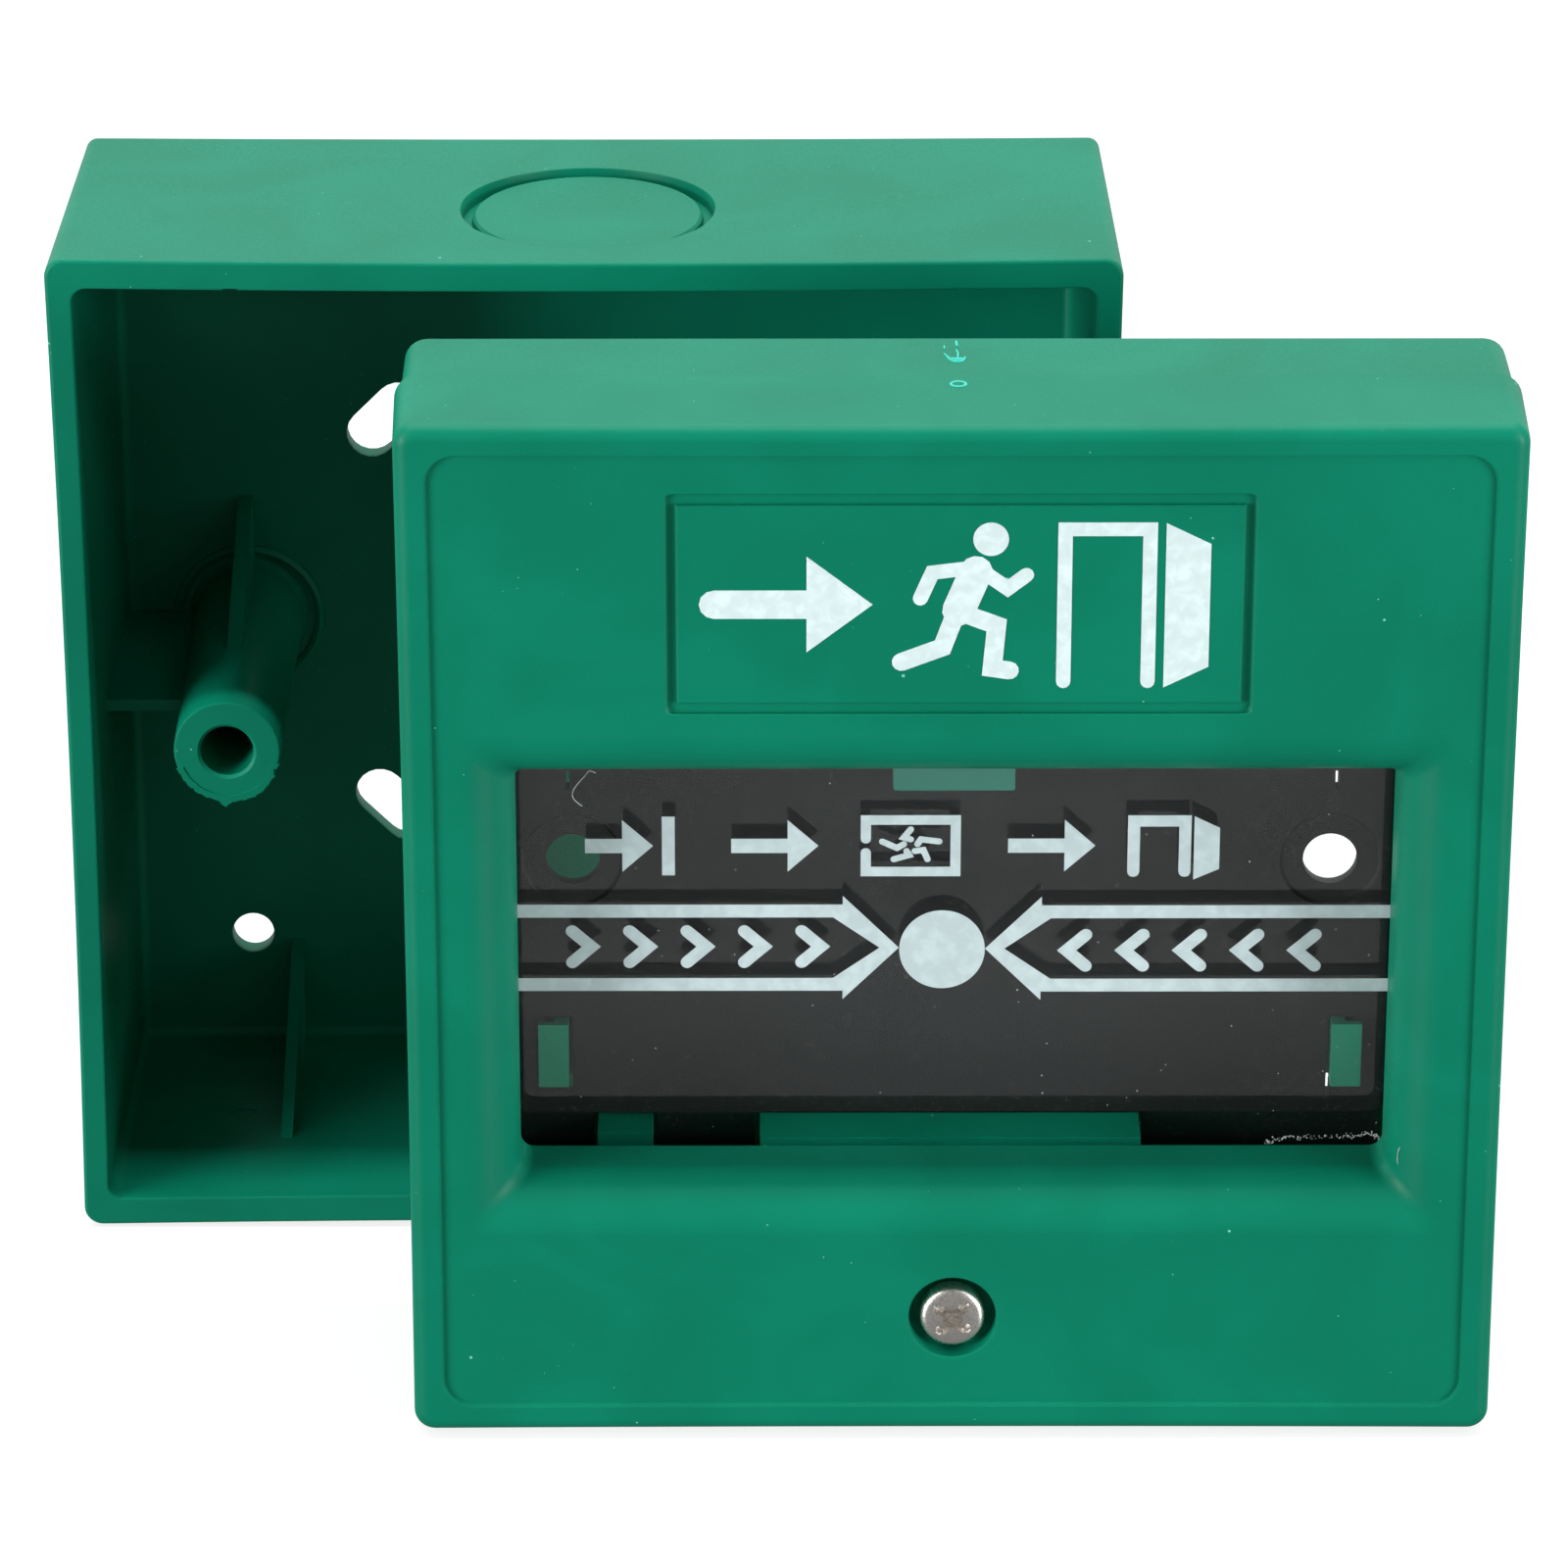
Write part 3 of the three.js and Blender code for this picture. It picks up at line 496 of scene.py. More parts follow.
def pane_glass():
    """Clear glass that lets lamps through, with a faint film of dust."""
    s = Surface("pane_glass", (0.94, 0.97, 0.965), 0.02)
    s.set(Transmission_Weight=1.0, IOR=1.32)
    film = s.noise(0.05, 2, 0.4)
    s.roughness(s.ramp(film, 0.3, 0.8, 0.01, 0.035))
    clear = s.add("ShaderNodeBsdfTransparent")
    clear.inputs["Color"].default_value = (0.93, 0.96, 0.955, 1)
    path = s.add("ShaderNodeLightPath")
    blend = s.add("ShaderNodeMixShader")
    s.link(path.outputs["Is Shadow Ray"], blend.inputs[0])
    s.link(s.shader.outputs[0], blend.inputs[1])
    s.link(clear.outputs[0], blend.inputs[2])
    s.link(blend.outputs[0], s.tree.nodes["Material Output"].inputs["Surface"])
    return s.material


def ink(name, colour):
    """Screen-printed ink, a little uneven."""
    s = Surface(name, colour, 0.5)
    patch = s.ramp(s.noise(0.9, 4, 0.5), 0.35, 0.75)
    worn = tuple(0.86 * c for c in colour)
    s.colour(s.mix(patch, worn, colour))
    s.roughness(s.ramp(patch, 0, 1, 0.42, 0.58))
    s.bump(s.noise(3.0, 3), 0.006)
    return s.material


def metal(name, colour, roughness, brushed=(1, 1, 1)):
    """Plated or machined metal with fine marks, drawn out along the axes where brushed is small."""
    s = Surface(name, colour, roughness, metallic=1.0)
    marks = s.noise(6.0, 4, 0.3, s.mapped(brushed))
    dull = tuple(0.72 * c for c in colour)
    s.colour(s.mix(s.ramp(marks, 0.3, 0.75), colour, dull))
    s.roughness(s.ramp(marks, 0.3, 0.7, 0.7 * roughness, 1.4 * roughness))
    s.bump(marks, 0.008)
    return s.material


def foam():
    s = Surface("foam", (0.02, 0.02, 0.022), 0.95)
    shaded_pores = s.specks(0.35, 0.3)
    # The pores are painted darker: painted shade in their hollows.
    s.colour(s.mix(shaded_pores, (0.026, 0.026, 0.028), (0.006, 0.006, 0.007)))
    s.bump(s.math("SUBTRACT", 1.0, shaded_pores), 0.06)
    return s.material


def moulded(name, colour, roughness):
    """Plain moulded plastic with a little variation."""
    s = Surface(name, colour, roughness)
    grain = s.noise(4.0, 3)
    deep = tuple(0.8 * c for c in colour)
    s.colour(s.mix(grain, deep, tuple(min(1, 1.15 * c) for c in colour)))
    s.roughness(s.ramp(grain, 0.3, 0.7, 0.85 * roughness, 1.2 * roughness))
    s.bump(grain, 0.01)
    return s.material


def board():
    """Glass-fibre board under green solder mask, with the weave just showing."""
    s = Surface("circuit_board", (0.02, 0.13, 0.05), 0.35)
    waves = []
    for direction in ("X", "Z"):
        wave = s.add("ShaderNodeTexWave", bands_direction=direction)
        wave.inputs["Scale"].default_value = 0.55
        s.link(s.mapped(), wave.inputs["Vector"])
        waves.append(wave.outputs["Fac"])
    weave = s.math("MULTIPLY", *waves)
    s.colour(s.mix(weave, (0.012, 0.1, 0.04), (0.02, 0.15, 0.06)))
    s.roughness(s.ramp(s.noise(2.0), 0.3, 0.7, 0.28, 0.42))
    s.bump(weave, 0.01)
    return s.material


GREEN = green_plastic()
# A darker copy of the cover's green for the plunger: painted shade, as its tab lies in the shadow of the
# window's top edge.
SHADED_PLUNGER_GREEN = moulded("plunger_green_painted_shade", (0.0006, 0.11, 0.075), 0.6)
BLACK = speckled_black()
SWITCH_BLACK = black_moulding()
GLASS = pane_glass()
LABEL_INK = ink("label_ink", (0.78, 0.95, 0.95))
PANE_INK = ink("pane_ink", (0.62, 0.75, 0.77))
NICKEL = metal("nickel", (0.93, 0.89, 0.84), 0.33)
STEEL = metal("steel", (0.56, 0.57, 0.59), 0.32, (1, 0.15, 1))
BRASS = metal("brass", (0.72, 0.5, 0.2), 0.32)
# A lighter copy of the green for the gate marks: partly real scuffing, partly a painted highlight where
# they catch the light.
SCUFF_AND_GLINT = moulded("scuff_and_glint_plastic", (0.04, 0.62, 0.5), 0.5)
LINT = moulded("lint", (0.62, 0.66, 0.66), 0.8)
FOAM = foam()
BOARD = board()
RED = moulded("red_plastic", (0.45, 0.03, 0.02), 0.4)
TERMINAL = moulded("terminal_plastic", (0.03, 0.28, 0.08), 0.45)

# ---- Surface box -----------------------------------------------------------------------------

BOX_DEPTH = local_box("back_box", BOX)[1].y
FLOOR_Y = BOX_DEPTH - 2
DRAFT = 0.6
SCREW_X = 30
POST_TOP = 1.0
POST_RADIUS = 4.4
POST_BORE = 2.2
GUSSET_X = 26.6
WALL_HOLE = (30.5, 12.9)
WALL_SLOT_REACH = 25.3
KNOCKOUT_Y = 14.26
KNOCKOUT_RADIUS = 10.28


def post(side):
    """Parts of a screw post: its stem, the ring at its root and two ribs."""
    x = side * SCREW_X
    stem_profile = [
        (0.2, POST_TOP),
        (0.06, POST_TOP + 0.06),
        (0, POST_TOP + 0.2),
        (-0.25, FLOOR_Y - 1.2),
        (-0.5, FLOOR_Y - 0.4),
        (-1.1, FLOOR_Y + 0.5),
    ]
    stem = loft(circle(POST_RADIUS, (x, MIDDLE)), stem_profile)
    ridge_profile = [
        (-0.5, FLOOR_Y + 0.5),
        (-0.35, FLOOR_Y - 0.35),
        (0, FLOOR_Y - 0.6),
        (0.35, FLOOR_Y - 0.35),
        (0.5, FLOOR_Y + 0.5),
    ]
    ridge = loft(circle(6.1, (x, MIDDLE)), ridge_profile, closed=True)
    upper = rib(
        (x - 0.6, x + 0.6),
        [
            (12, MIDDLE + 3.6),
            (12, MIDDLE + 4.4),
            (FLOOR_Y + 0.5, MIDDLE + 11.2),
            (FLOOR_Y + 0.5, MIDDLE + 3.6),
        ],
    )
    outer = side * (MIDDLE - 1)
    across = sorted((x + side * 3, outer))
    wall_rib = block(across, (10.8, FLOOR_Y + 0.5), (MIDDLE - 0.5, MIDDLE + 0.5))
    return [stem, ridge, upper, wall_rib]


def burr():
    """Thin ragged flash left along the lower rim of the left post."""
    outer, inner = [], []
    for step in range(61):
        degrees = 200 + 145 * step / 60
        a = math.radians(degrees)
        reach = 4.42 + 0.09 * math.sin(0.9 * degrees) * math.sin(0.31 * degrees) + dice.uniform(-0.03, 0.03)
        reach += 0.5 * max(0, 1 - abs(degrees - 267) / 9) + 0.14 * max(0, 1 - abs(degrees - 300) / 28)
        reach -= 0.3 * max(0, 1 - abs(degrees - 337) / 6)
        outer.append((-SCREW_X + reach * math.cos(a), MIDDLE + reach * math.sin(a)))
        inner.append((-SCREW_X + 3.9 * math.cos(a), MIDDLE + 3.9 * math.sin(a)))
    return prism(outer + inner[::-1], (POST_TOP - 0.1, POST_TOP + 0.12))


def through_hole(outline, y0, y1, edge=0.2):
    """Cutter for a hole from y0 to y1 whose two rims are rounded by edge."""
    front = [(-edge, y0 - 1), (-edge, y0), (-0.3 * edge, y0 + 0.3 * edge), (0, y0 + edge)]
    back = [(0, y1 - edge), (-0.3 * edge, y1 - 0.3 * edge), (-edge, y1), (-edge, y1 + 1)]
    return loft(outline, front + back)


def knockout(side):
    """Cutter for the groove and the sunken disc of a conduit knockout. It points up or down."""
    groove = [
        (-0.35, -2),
        (-0.35, -0.02),
        (-0.1, 0.08),
        (0, 0.35),
        (0.08, 1.3),
        (0.84, 1.3),
        (0.92, 0.75),
        (1.15, 0.55),
        (1.15, -2),
    ]
    ring = loft(circle(KNOCKOUT_RADIUS, steps=96), groove, closed=True)
    disc = loft(circle(KNOCKOUT_RADIUS - 1.05, steps=96), [(0, -2), (0, 0.55)])
    face = SIDE - DRAFT * KNOCKOUT_Y / BOX_DEPTH if side > 0 else DRAFT * KNOCKOUT_Y / BOX_DEPTH
    turn = Matrix.Rotation(-side * math.pi / 2, 4, "X")
    for tool in (ring, disc):
        tool.data.transform(Matrix.Translation((0, KNOCKOUT_Y, face)) @ turn)
    return [ring, disc]


def box_shell():
    outline = rectangle(SIDE, SIDE, 1.6, (0, MIDDLE), 8, 12)
    profile = [
        *reversed(quarter_round(0.35, 0, 0, -1)),
        *quarter_round(0.5, DRAFT, BOX_DEPTH, 1),
    ]
    shell = loft(outline, profile)
    inner = rectangle(SIDE - 4.2, SIDE - 5, 1.2, (0, MIDDLE), 6, 12)
    rim = [(-0.25, -1), (-0.25, 0), (-0.08, 0.08), (0, 0.25)]
    cut(shell, loft(inner, rim + quarter_round(0.8, DRAFT, FLOOR_Y, 1)))
    gussets = [
        rib(
            (side * GUSSET_X - 0.5, side * GUSSET_X + 0.5),
            [(10.8, 1.5), (10.8, 2.8), (FLOOR_Y + 0.5, 12.6), (FLOOR_Y + 0.5, 1.5)],
        )
        for side in (-1, 1)
    ]
    join(shell, *post(-1), *post(1), burr(), *gussets)
    bores = [
        loft(
            circle(POST_BORE, (side * SCREW_X, MIDDLE), 40),
            [(-0.25, -1), (-0.25, POST_TOP), (0, POST_TOP + 0.2), (0.1, 26)],
        )
        for side in (-1, 1)
    ]
    holes = [
        through_hole(circle(1.8, (side * WALL_HOLE[0], WALL_HOLE[1]), 36), FLOOR_Y, BOX_DEPTH)
        for side in (-1, 1)
    ]
    slots = []
    for quarter in range(4):
        angle = math.pi / 4 + quarter * math.pi / 2
        centre = (WALL_SLOT_REACH * math.cos(angle), MIDDLE + WALL_SLOT_REACH * math.sin(angle))
        slots.append(through_hole(oblong(4.2, 7.6, angle + math.pi / 2, centre), FLOOR_Y, BOX_DEPTH))
    notches = [
        block((x - 0.6, x + 0.6), (-1, 1.0), (SIDE - 2.9, SIDE - 2.3)) for x in (-28.25, 30.3)
    ]
    ejector = loft(circle(1.35, steps=32), [(0, -1), (0, 0.12)])
    ejector.data.transform(Matrix.Translation((-30.6, 15.1, 2.78)) @ Matrix.Rotation(-math.pi / 2, 4, "X"))
    cut(shell, *bores, *holes, *slots, *notches, ejector, *knockout(1), *knockout(-1))
    bow(shell, lambda y: 0.35 - 0.2 * y / BOX_DEPTH)
    settle(shell, "box_shell", "box", GREEN, BOX, ["back_box"])


box_shell()

# ---- Front cover -----------------------------------------------------------------------------

COVER_DEPTH = 10.7
FRAME_SIDE = round((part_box("base_frame")[1].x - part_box("base_frame")[0].x) / MM, 3)
PANEL_Y = 0.4
WINDOW = (68.4, 34.4)
WINDOW_Z = 39.05
ROLL = 4.2
LIP_BACK = 8.0
SCREW_Z = 10.3
LABEL_Z = 71.2


def window_cutter():
    """Cutter of the window, whose edge rolls over from the panel to the opening."""
    steps = 14
    roll = []
    for step in range(steps + 1):
        angle = math.pi / 2 * step / steps
        roll.append((ROLL * math.sin(angle), PANEL_Y + ROLL * (1 - math.cos(angle))))
    outline = mitred(WINDOW[0] + 2 * ROLL, WINDOW[1] + 2 * ROLL, 1.1, (0, WINDOW_Z))
    rear = [(ROLL, LIP_BACK - 0.12), (ROLL - 0.12, LIP_BACK), (ROLL - 0.12, LIP_BACK + 1)]
    return loft(outline, [(0, -1), *roll, *rear])


def hook(x):
    """A hook at the top of the cover, whose nib catches behind the frame's front lip."""
    root = block((x - 4, x + 4), (4, 10.2), (81.3, SIDE - 1.5))
    tongue = block((x - 4, x + 4), (9, 13.7), (81.3, 83), 0.15)
    nib = block((x - 4, x + 4), (13, 13.7), (82.5, 83.85), 0.15)
    return [root, tongue, nib]


def cover_shell():
    outline = rectangle(SIDE, SIDE, 2.0, (0, MIDDLE), 8, 12)
    back = [(0.15, COVER_DEPTH), (0.0, COVER_DEPTH - 0.15)]
    shell = loft(outline, back + quarter_round(1.2, 0.3, 0, -1, 8))
    inner = rectangle(SIDE - 4.4, SIDE - 4.4, 1.2, (0, MIDDLE), 5, 12)
    cut(shell, loft(inner, [(0, COVER_DEPTH + 1), (0, COVER_DEPTH), *quarter_round(0.4, 0.3, 2.4, -1, 3)]))
    lip = loft(
        rectangle(WINDOW[0] + 7.6, WINDOW[1] + 7.6, 2, (0, WINDOW_Z), 4),
        [(0, 1.4), (0, LIP_BACK - 0.3), (0.3, LIP_BACK)],
    )
    parts = [lip]
    top, low = WINDOW_Z + 19.5, WINDOW_Z - 19.5
    for x in (-20, 20):
        parts.append(block((x - 8, x + 8), (1.4, 10.6), (top + 0.4, top + 1.4), 0.12))
        parts.append(block((x - 8, x + 8), (1.4, 10.6), (low - 1.4, low - 0.4), 0.12))
    for side in (-1, 1):
        across = sorted((side * 37.4, side * (MIDDLE - 1.5)))
        parts.append(block(across, (1.4, 11.6), (WINDOW_Z - 8, WINDOW_Z + 8), 0.15))
    parts.append(loft(circle(4.4, (0, SCREW_Z), 40), [(0, 1.4), (0, 9.9), (0.3, 10.2)]))
    join(shell, *parts, *hook(-22), *hook(22))
    recess = loft(
        rectangle(SIDE - 5.3, SIDE - 5.3, 2.4, (0, MIDDLE), 8, 12),
        [(-0.14, -1), (-0.14, 0), (-0.04, 0.04), (0, 0.14), (0, 0.24), (0.05, 0.35), (0.16, PANEL_Y)],
    )
    cut(shell, recess)
    groove_profile = [
        (-0.1, -1),
        (-0.1, PANEL_Y),
        (0, PANEL_Y + 0.08),
        (0, PANEL_Y + 0.32),
        (0.1, PANEL_Y + 0.42),
        (0.76, PANEL_Y + 0.42),
        (0.86, PANEL_Y + 0.32),
        (0.86, PANEL_Y + 0.08),
        (0.96, PANEL_Y),
        (0.96, -1),
    ]
    groove = loft(rectangle(44.6, 17.9, 0.5, (0, LABEL_Z), 3), groove_profile, closed=True)
    well = loft(
        circle(3.45, (0, SCREW_Z), 56),
        [(-0.3, -1), (-0.3, PANEL_Y), (-0.09, PANEL_Y + 0.09), (0, PANEL_Y + 0.3), (0, 2.3), (0.3, 2.6)],
    )
    bore = loft(circle(1.9, (0, SCREW_Z), 32), [(0, 0), (0, COVER_DEPTH + 1)])
    keeper_holes = [
        loft(circle(1.1, (side * 39, WINDOW_Z + 6), 20), [(0, 7.7), (0, 12)]) for side in (-1, 1)
    ]
    cut(shell, groove, window_cutter(), well, bore, *keeper_holes)
    bow(shell, lambda y: 0.12)
    settle(shell, "cover_shell", "cover", GREEN, UNIT, ["front_cover"])


cover_shell()

# ---- Pieces refined from their CAD shape -----------------------------------------------------


def refined(node, name, body, material, width, segments=2):
    """A copy of a CAD node with flat faces merged and every sharp edge rounded."""
    work = bmesh.new()
    work.from_mesh(frame["nodes"][node].data)
    for vertex in work.verts:
        vertex.co = vertex.co / MM - UNIT
    bmesh.ops.remove_doubles(work, verts=work.verts, dist=1e-4)
    bmesh.ops.dissolve_limit(work, angle_limit=math.radians(1), verts=work.verts, edges=work.edges)
    bmesh.ops.triangulate(work, faces=work.faces, ngon_method="EAR_CLIP")
    piece = new_object(name, work)
    soften(piece, width, segments)
    settle(piece, name, body, material, UNIT, [node])


refined("base_frame", "frame_shell", "unit", GREEN, 0.15)
refined("trip_plunger", "plunger_body", "plunger", SHADED_PLUNGER_GREEN, 0.2, 3)

# ---- Back plate ------------------------------------------------------------------------------


HOOK_SLOT_X = (30.2, 32.3)
HOOK_SLOT_HALF = 3.05
HOOK_ROWS = (26.3, 55.3)
SLIT_X = 30.35
SLIT_ROWS = (23.2, 49.9)
TAB_NOTCH = ((-2.4, 2.4), (56, 58.8))
# The lip under the plate is painted shade: a dark sheet standing in for the shadow below its lower edge.
SHADE_LIP_DROP = 3.2
SHADE_LIP_SPANS = ((-34.6, -28.6), (-23.4, -15.6), (15.6, 34.6))


def back_plate():
    """The plate, with a black lip that slopes down from its lower edge between the blocks of the frame. The
    lip is painted shade: a dark sheet set where the space under the plate lies in shadow.
    """
    low, high = local_box("back_plate")
    middle = (low.z + high.z) / 2
    y0, y1 = low.y, high.y
    through = (y0 - 1, y1 + 1)
    sheet = loft(
        rectangle(high.x - low.x, high.z - low.z, 1.2, (0, middle), 4),
        [(0.2, y0), (0, y0 + 0.2), (0, y1 - 0.2), (0.2, y1)],
    )
    tools = []
    for side in (-1, 1):
        centre = (side * SCREW_X, MIDDLE)
        tools.append(through_hole(circle(2.15, centre, 40), y0, y1, 0.15))
        tools.append(loft(circle(3.9, centre, 56), [(-0.12, y0 - 1), (-0.12, y0), (0.1, y0 + 0.3)]))
        for z in HOOK_ROWS:
            across = sorted(side * x for x in HOOK_SLOT_X)
            tools.append(block(across, through, (z - HOOK_SLOT_HALF, z + HOOK_SLOT_HALF)))
        for z in SLIT_ROWS:
            across = (side * SLIT_X - 0.15, side * SLIT_X + 0.15)
            tools.append(block(across, through, (z - 0.8, z + 0.8)))
    tools.append(block(TAB_NOTCH[0], through, TAB_NOTCH[1]))
    cut(sheet, *tools)
    # Painted shade: this black lip stands in for the shadow under the plate's lower edge.
    top, bottom = low.z + 0.3, low.z - SHADE_LIP_DROP
    lip = [(y0 + 0.2, top), (y1 - 0.4, top), (y1 + 0.1, bottom), (y1 - 0.7, bottom)]
    join(sheet, *(rib(x, lip) for x in SHADE_LIP_SPANS))
    settle(sheet, "plate_black", "unit", BLACK, UNIT, ["back_plate"])


back_plate()

# ---- Pane and its print ----------------------------------------------------------------------


def pane():
    low, high = local_box("glass_pane")
    outline = rectangle(high.x - low.x, high.z - low.z, 0.9, (0, (low.z + high.z) / 2), 4)
    profile = [(0.35, low.y), (0, low.y + 0.35), (0, high.y - 0.35), (0.35, high.y)]
    piece = loft(outline, profile)
    settle(piece, "pane_clear", "pane", GLASS, UNIT, ["glass_pane"])


def stroke(points, width):
    """Outline of a line of this width with round ends and mitred bends."""
    path = [Vector(p) for p in points]
    left, right = [], []
    for i, here in enumerate(path):
        before = (here - path[i - 1]).normalized() if i else (path[1] - here).normalized()
        after = (path[i + 1] - here).normalized() if i + 1 < len(path) else before
        normal = Vector((-(before + after).y, (before + after).x)).normalized()
        reach = width / 2 / max(0.35, normal.dot(Vector((-after.y, after.x))))
        left.append(here + normal * reach)
        right.append(here - normal * reach)
    caps = []
    for end, towards in ((path[-1], path[-1] - path[-2]), (path[0], path[0] - path[1])):
        first = math.atan2(towards.y, towards.x) + math.pi / 2
        angles = [first - math.pi * k / 6 for k in range(1, 6)]
        caps.append([end + width / 2 * Vector((math.cos(a), math.sin(a))) for a in angles])
    return [tuple(p) for p in left + caps[0] + right[::-1] + caps[1]]


def printed(shapes, y, name, body, material):
    """Joins flat outlines of ink into one thin piece between two depths."""
    piece, *others = [prism(points, y) for points in shapes]
    join(piece, *others)
    settle(piece, name, body, material)


def chevron(x, z, height, reach, width):
    return stroke([(x, z - height / 2), (x + reach, z), (x, z + height / 2)], width)


def arrow_outline(tip, z):
    """The open arrow that runs in from one side of the pane to the dot in its middle."""
    side = -1 if tip < 0 else 1
    inner = tip + side * 1.5
    barb = tip + side * 4.4
    edge = side * 36.6
    upper = [
        (tip, z),
        (barb, z + 4.45),
        (barb, z + 3.72),
        (edge, z + 3.72),
        (edge, z + 2.62),
        (barb + side * 0.75, z + 2.62),
        (inner, z),
    ]
    lower = [(x, 2 * z - height) for x, height in upper]
    return [upper, lower]


def sign_arrow(x, z, length):
    """A short arrow that points to the right."""
    neck = x + length - 2.4
    upper = [(x, z + 0.6), (neck, z + 0.6), (neck, z + 2.2), (x + length, z)]
    lower = [(across, 2 * z - height) for across, height in upper[-2::-1]]
    return [upper + lower]


def sign_press(x, z):
    """An arrow that runs against a pane seen from its side."""
    slab = [(x + 2.4, z - 2.5), (x + 3.4, z - 2.5), (x + 3.4, z + 2.5), (x + 2.4, z + 2.5)]
    return [slab, *sign_arrow(x - 3.6, z, 5.3)]


def sign_crack(x, z):
    """A pane with a crack that spreads out from its middle."""
    turns = ((-1, 0.27), (-1, 1), (1, 1), (1, -1), (-1, -1), (-1, -0.27))
    rim = [(x + a * 3.5, z + b * 2.2) for a, b in turns]
    shapes = [stroke(rim, 0.8)]
    for angle in (15, 90, 165, 235, 305):
        a = math.radians(angle)
        bend = (x + 1.1 * math.cos(a + 0.5), z + 0.8 * math.sin(a + 0.5))
        start = (x + 0.55 * math.cos(a), z + 0.55 * math.sin(a))
        shapes.append(stroke([start, bend, (x + 2.3 * math.cos(a), z + 1.4 * math.sin(a))], 0.5))
    return shapes


def sign_door(x, z):
    """A door that stands open in its frame."""
    frame_line = [(x - 3.0, z - 2.2), (x - 3.0, z + 2.1), (x + 1.0, z + 2.1), (x + 1.0, z - 2.2)]
    leaf = [(x + 1.7, z + 2.5), (x + 3.7, z + 1.5), (x + 3.7, z - 2.0), (x + 1.7, z - 2.9)]
    return [stroke(frame_line, 0.95), leaf]


def pane_print():
    """Arrows and a dot that show where to press, with a row of signs above them."""
    front = local_box("glass_pane")[0].y
    shapes = [circle(3.36, (-0.88, 38.6), 64)()]
    shapes += arrow_outline(-4.28, 38.75) + arrow_outline(2.5, 38.66)
    for step in range(5):
        shapes.append(chevron(-29.9 + 4.5 * step, 38.85, 2.7, 1.5, 1.0))
        shapes.append(chevron(28.4 - 4.5 * step, 38.5, 2.7, -1.5, 1.0))
    row = 47.5
    shapes += sign_press(-25.2, row)
    shapes += sign_arrow(-17.4, row, 6.8)
    shapes += sign_crack(-3.4, row)
    shapes += sign_arrow(4.2, row, 6.8)
    shapes += sign_door(17.0, row)
    printed(shapes, (front - 0.04, front), "pane_arrows", "pane", PANE_INK)


pane()
pane_print()

# ---- Label ----------------------------------------------------------------------------------


def runner(x, z):
    """Outlines of a plain running figure, whose feet are at z."""
    limbs = [
        ([(1.0, 9.0), (-0.3, 5.8)], 2.5),
        ([(1.2, 9.2), (3.4, 7.6), (4.8, 8.7)], 1.15),
        ([(0.8, 9.3), (-2.3, 8.9), (-3.2, 6.8)], 1.15),
        ([(0.0, 5.6), (2.6, 4.6), (2.3, 1.1), (3.6, 0.9)], 1.45),
        ([(-0.5, 5.6), (-1.5, 2.8), (-4.6, 1.6)], 1.45),
    ]
    shapes = [circle(1.35, (x + 2.1, z + 11.6), 32)()]
    for points, width in limbs:
        shapes.append(stroke([(x + px, z + pz) for px, pz in points], width))
    return shapes


def door(x, z):
    """Outlines of an open door: a frame and a leaf that stands away from it."""
    frame_line = [(x, z), (x, z + 12.4), (x + 6.4, z + 12.4), (x + 6.4, z)]
    leaf = [(x + 7.6, z + 12.9), (x + 11.0, z + 11.2), (x + 11.0, z + 1.2), (x + 7.6, z - 0.5)]
    return [stroke(frame_line, 1.1), leaf]


def label():
    y = (PANEL_Y - 0.05, PANEL_Y + 0.02)
    low = LABEL_Z - 6.3
    shapes = runner(0.2, low) + door(7.9, low)
    arrow = stroke([(-18.6, LABEL_Z), (-10.6, LABEL_Z)], 2.3)
    head = [(-11.6, LABEL_Z + 3.9), (-6.6, LABEL_Z), (-11.6, LABEL_Z - 3.9)]
    shapes += [arrow, head]
    printed(shapes, y, "label_sign", "cover", LABEL_INK)


label()

# ---- Cover screw -----------------------------------------------------------------------------


def cover_screw():
    head = [
        (0.0, 0.44),
        (1.2, 0.45),
        (2.05, 0.52),
        (2.3, 0.6),
        (2.46, 0.76),
        (2.54, 1.0),
        (2.56, 1.9),
        (2.45, 2.3),
        (1.5, 2.35),
        (1.5, 15.7),
        (1.0, 16.3),
    ]
    radius = head[6][0]
    body = loft(circle(radius, (0, SCREW_Z), 64), [(radius - max(r, 0.02), y) for r, y in head])
    steps = [(3.7, 0.5, 0.62), (3.2, 0.86, 1.15), (2.3, 0.7, 1.8)]
    arms = []
    for turn in (math.radians(40), math.radians(130)):
        for length, width, depth in steps:
            outline = rectangle(length, width, 0.1, corner_steps=3)
            arm = loft(outline, [(-0.03, -0.5), (0, 0.45), (0.12, depth)])
            arm.data.transform(Matrix.Translation((0, 0, SCREW_Z)) @ Matrix.Rotation(turn, 4, "Y"))
            arms.append(arm)
    arms.append(loft(circle(0.8, (0, SCREW_Z), 16), [(0, -0.5), (0, 1.2), (0.5, 2.2)]))
    cut(body, *arms)
    soften(body, 0.03, 2, 35)
    settle(body, "screw_cross", "screw", NICKEL, UNIT, ["cover_screw"])


cover_screw()

# ---- Marks and lint --------------------------------------------------------------------------


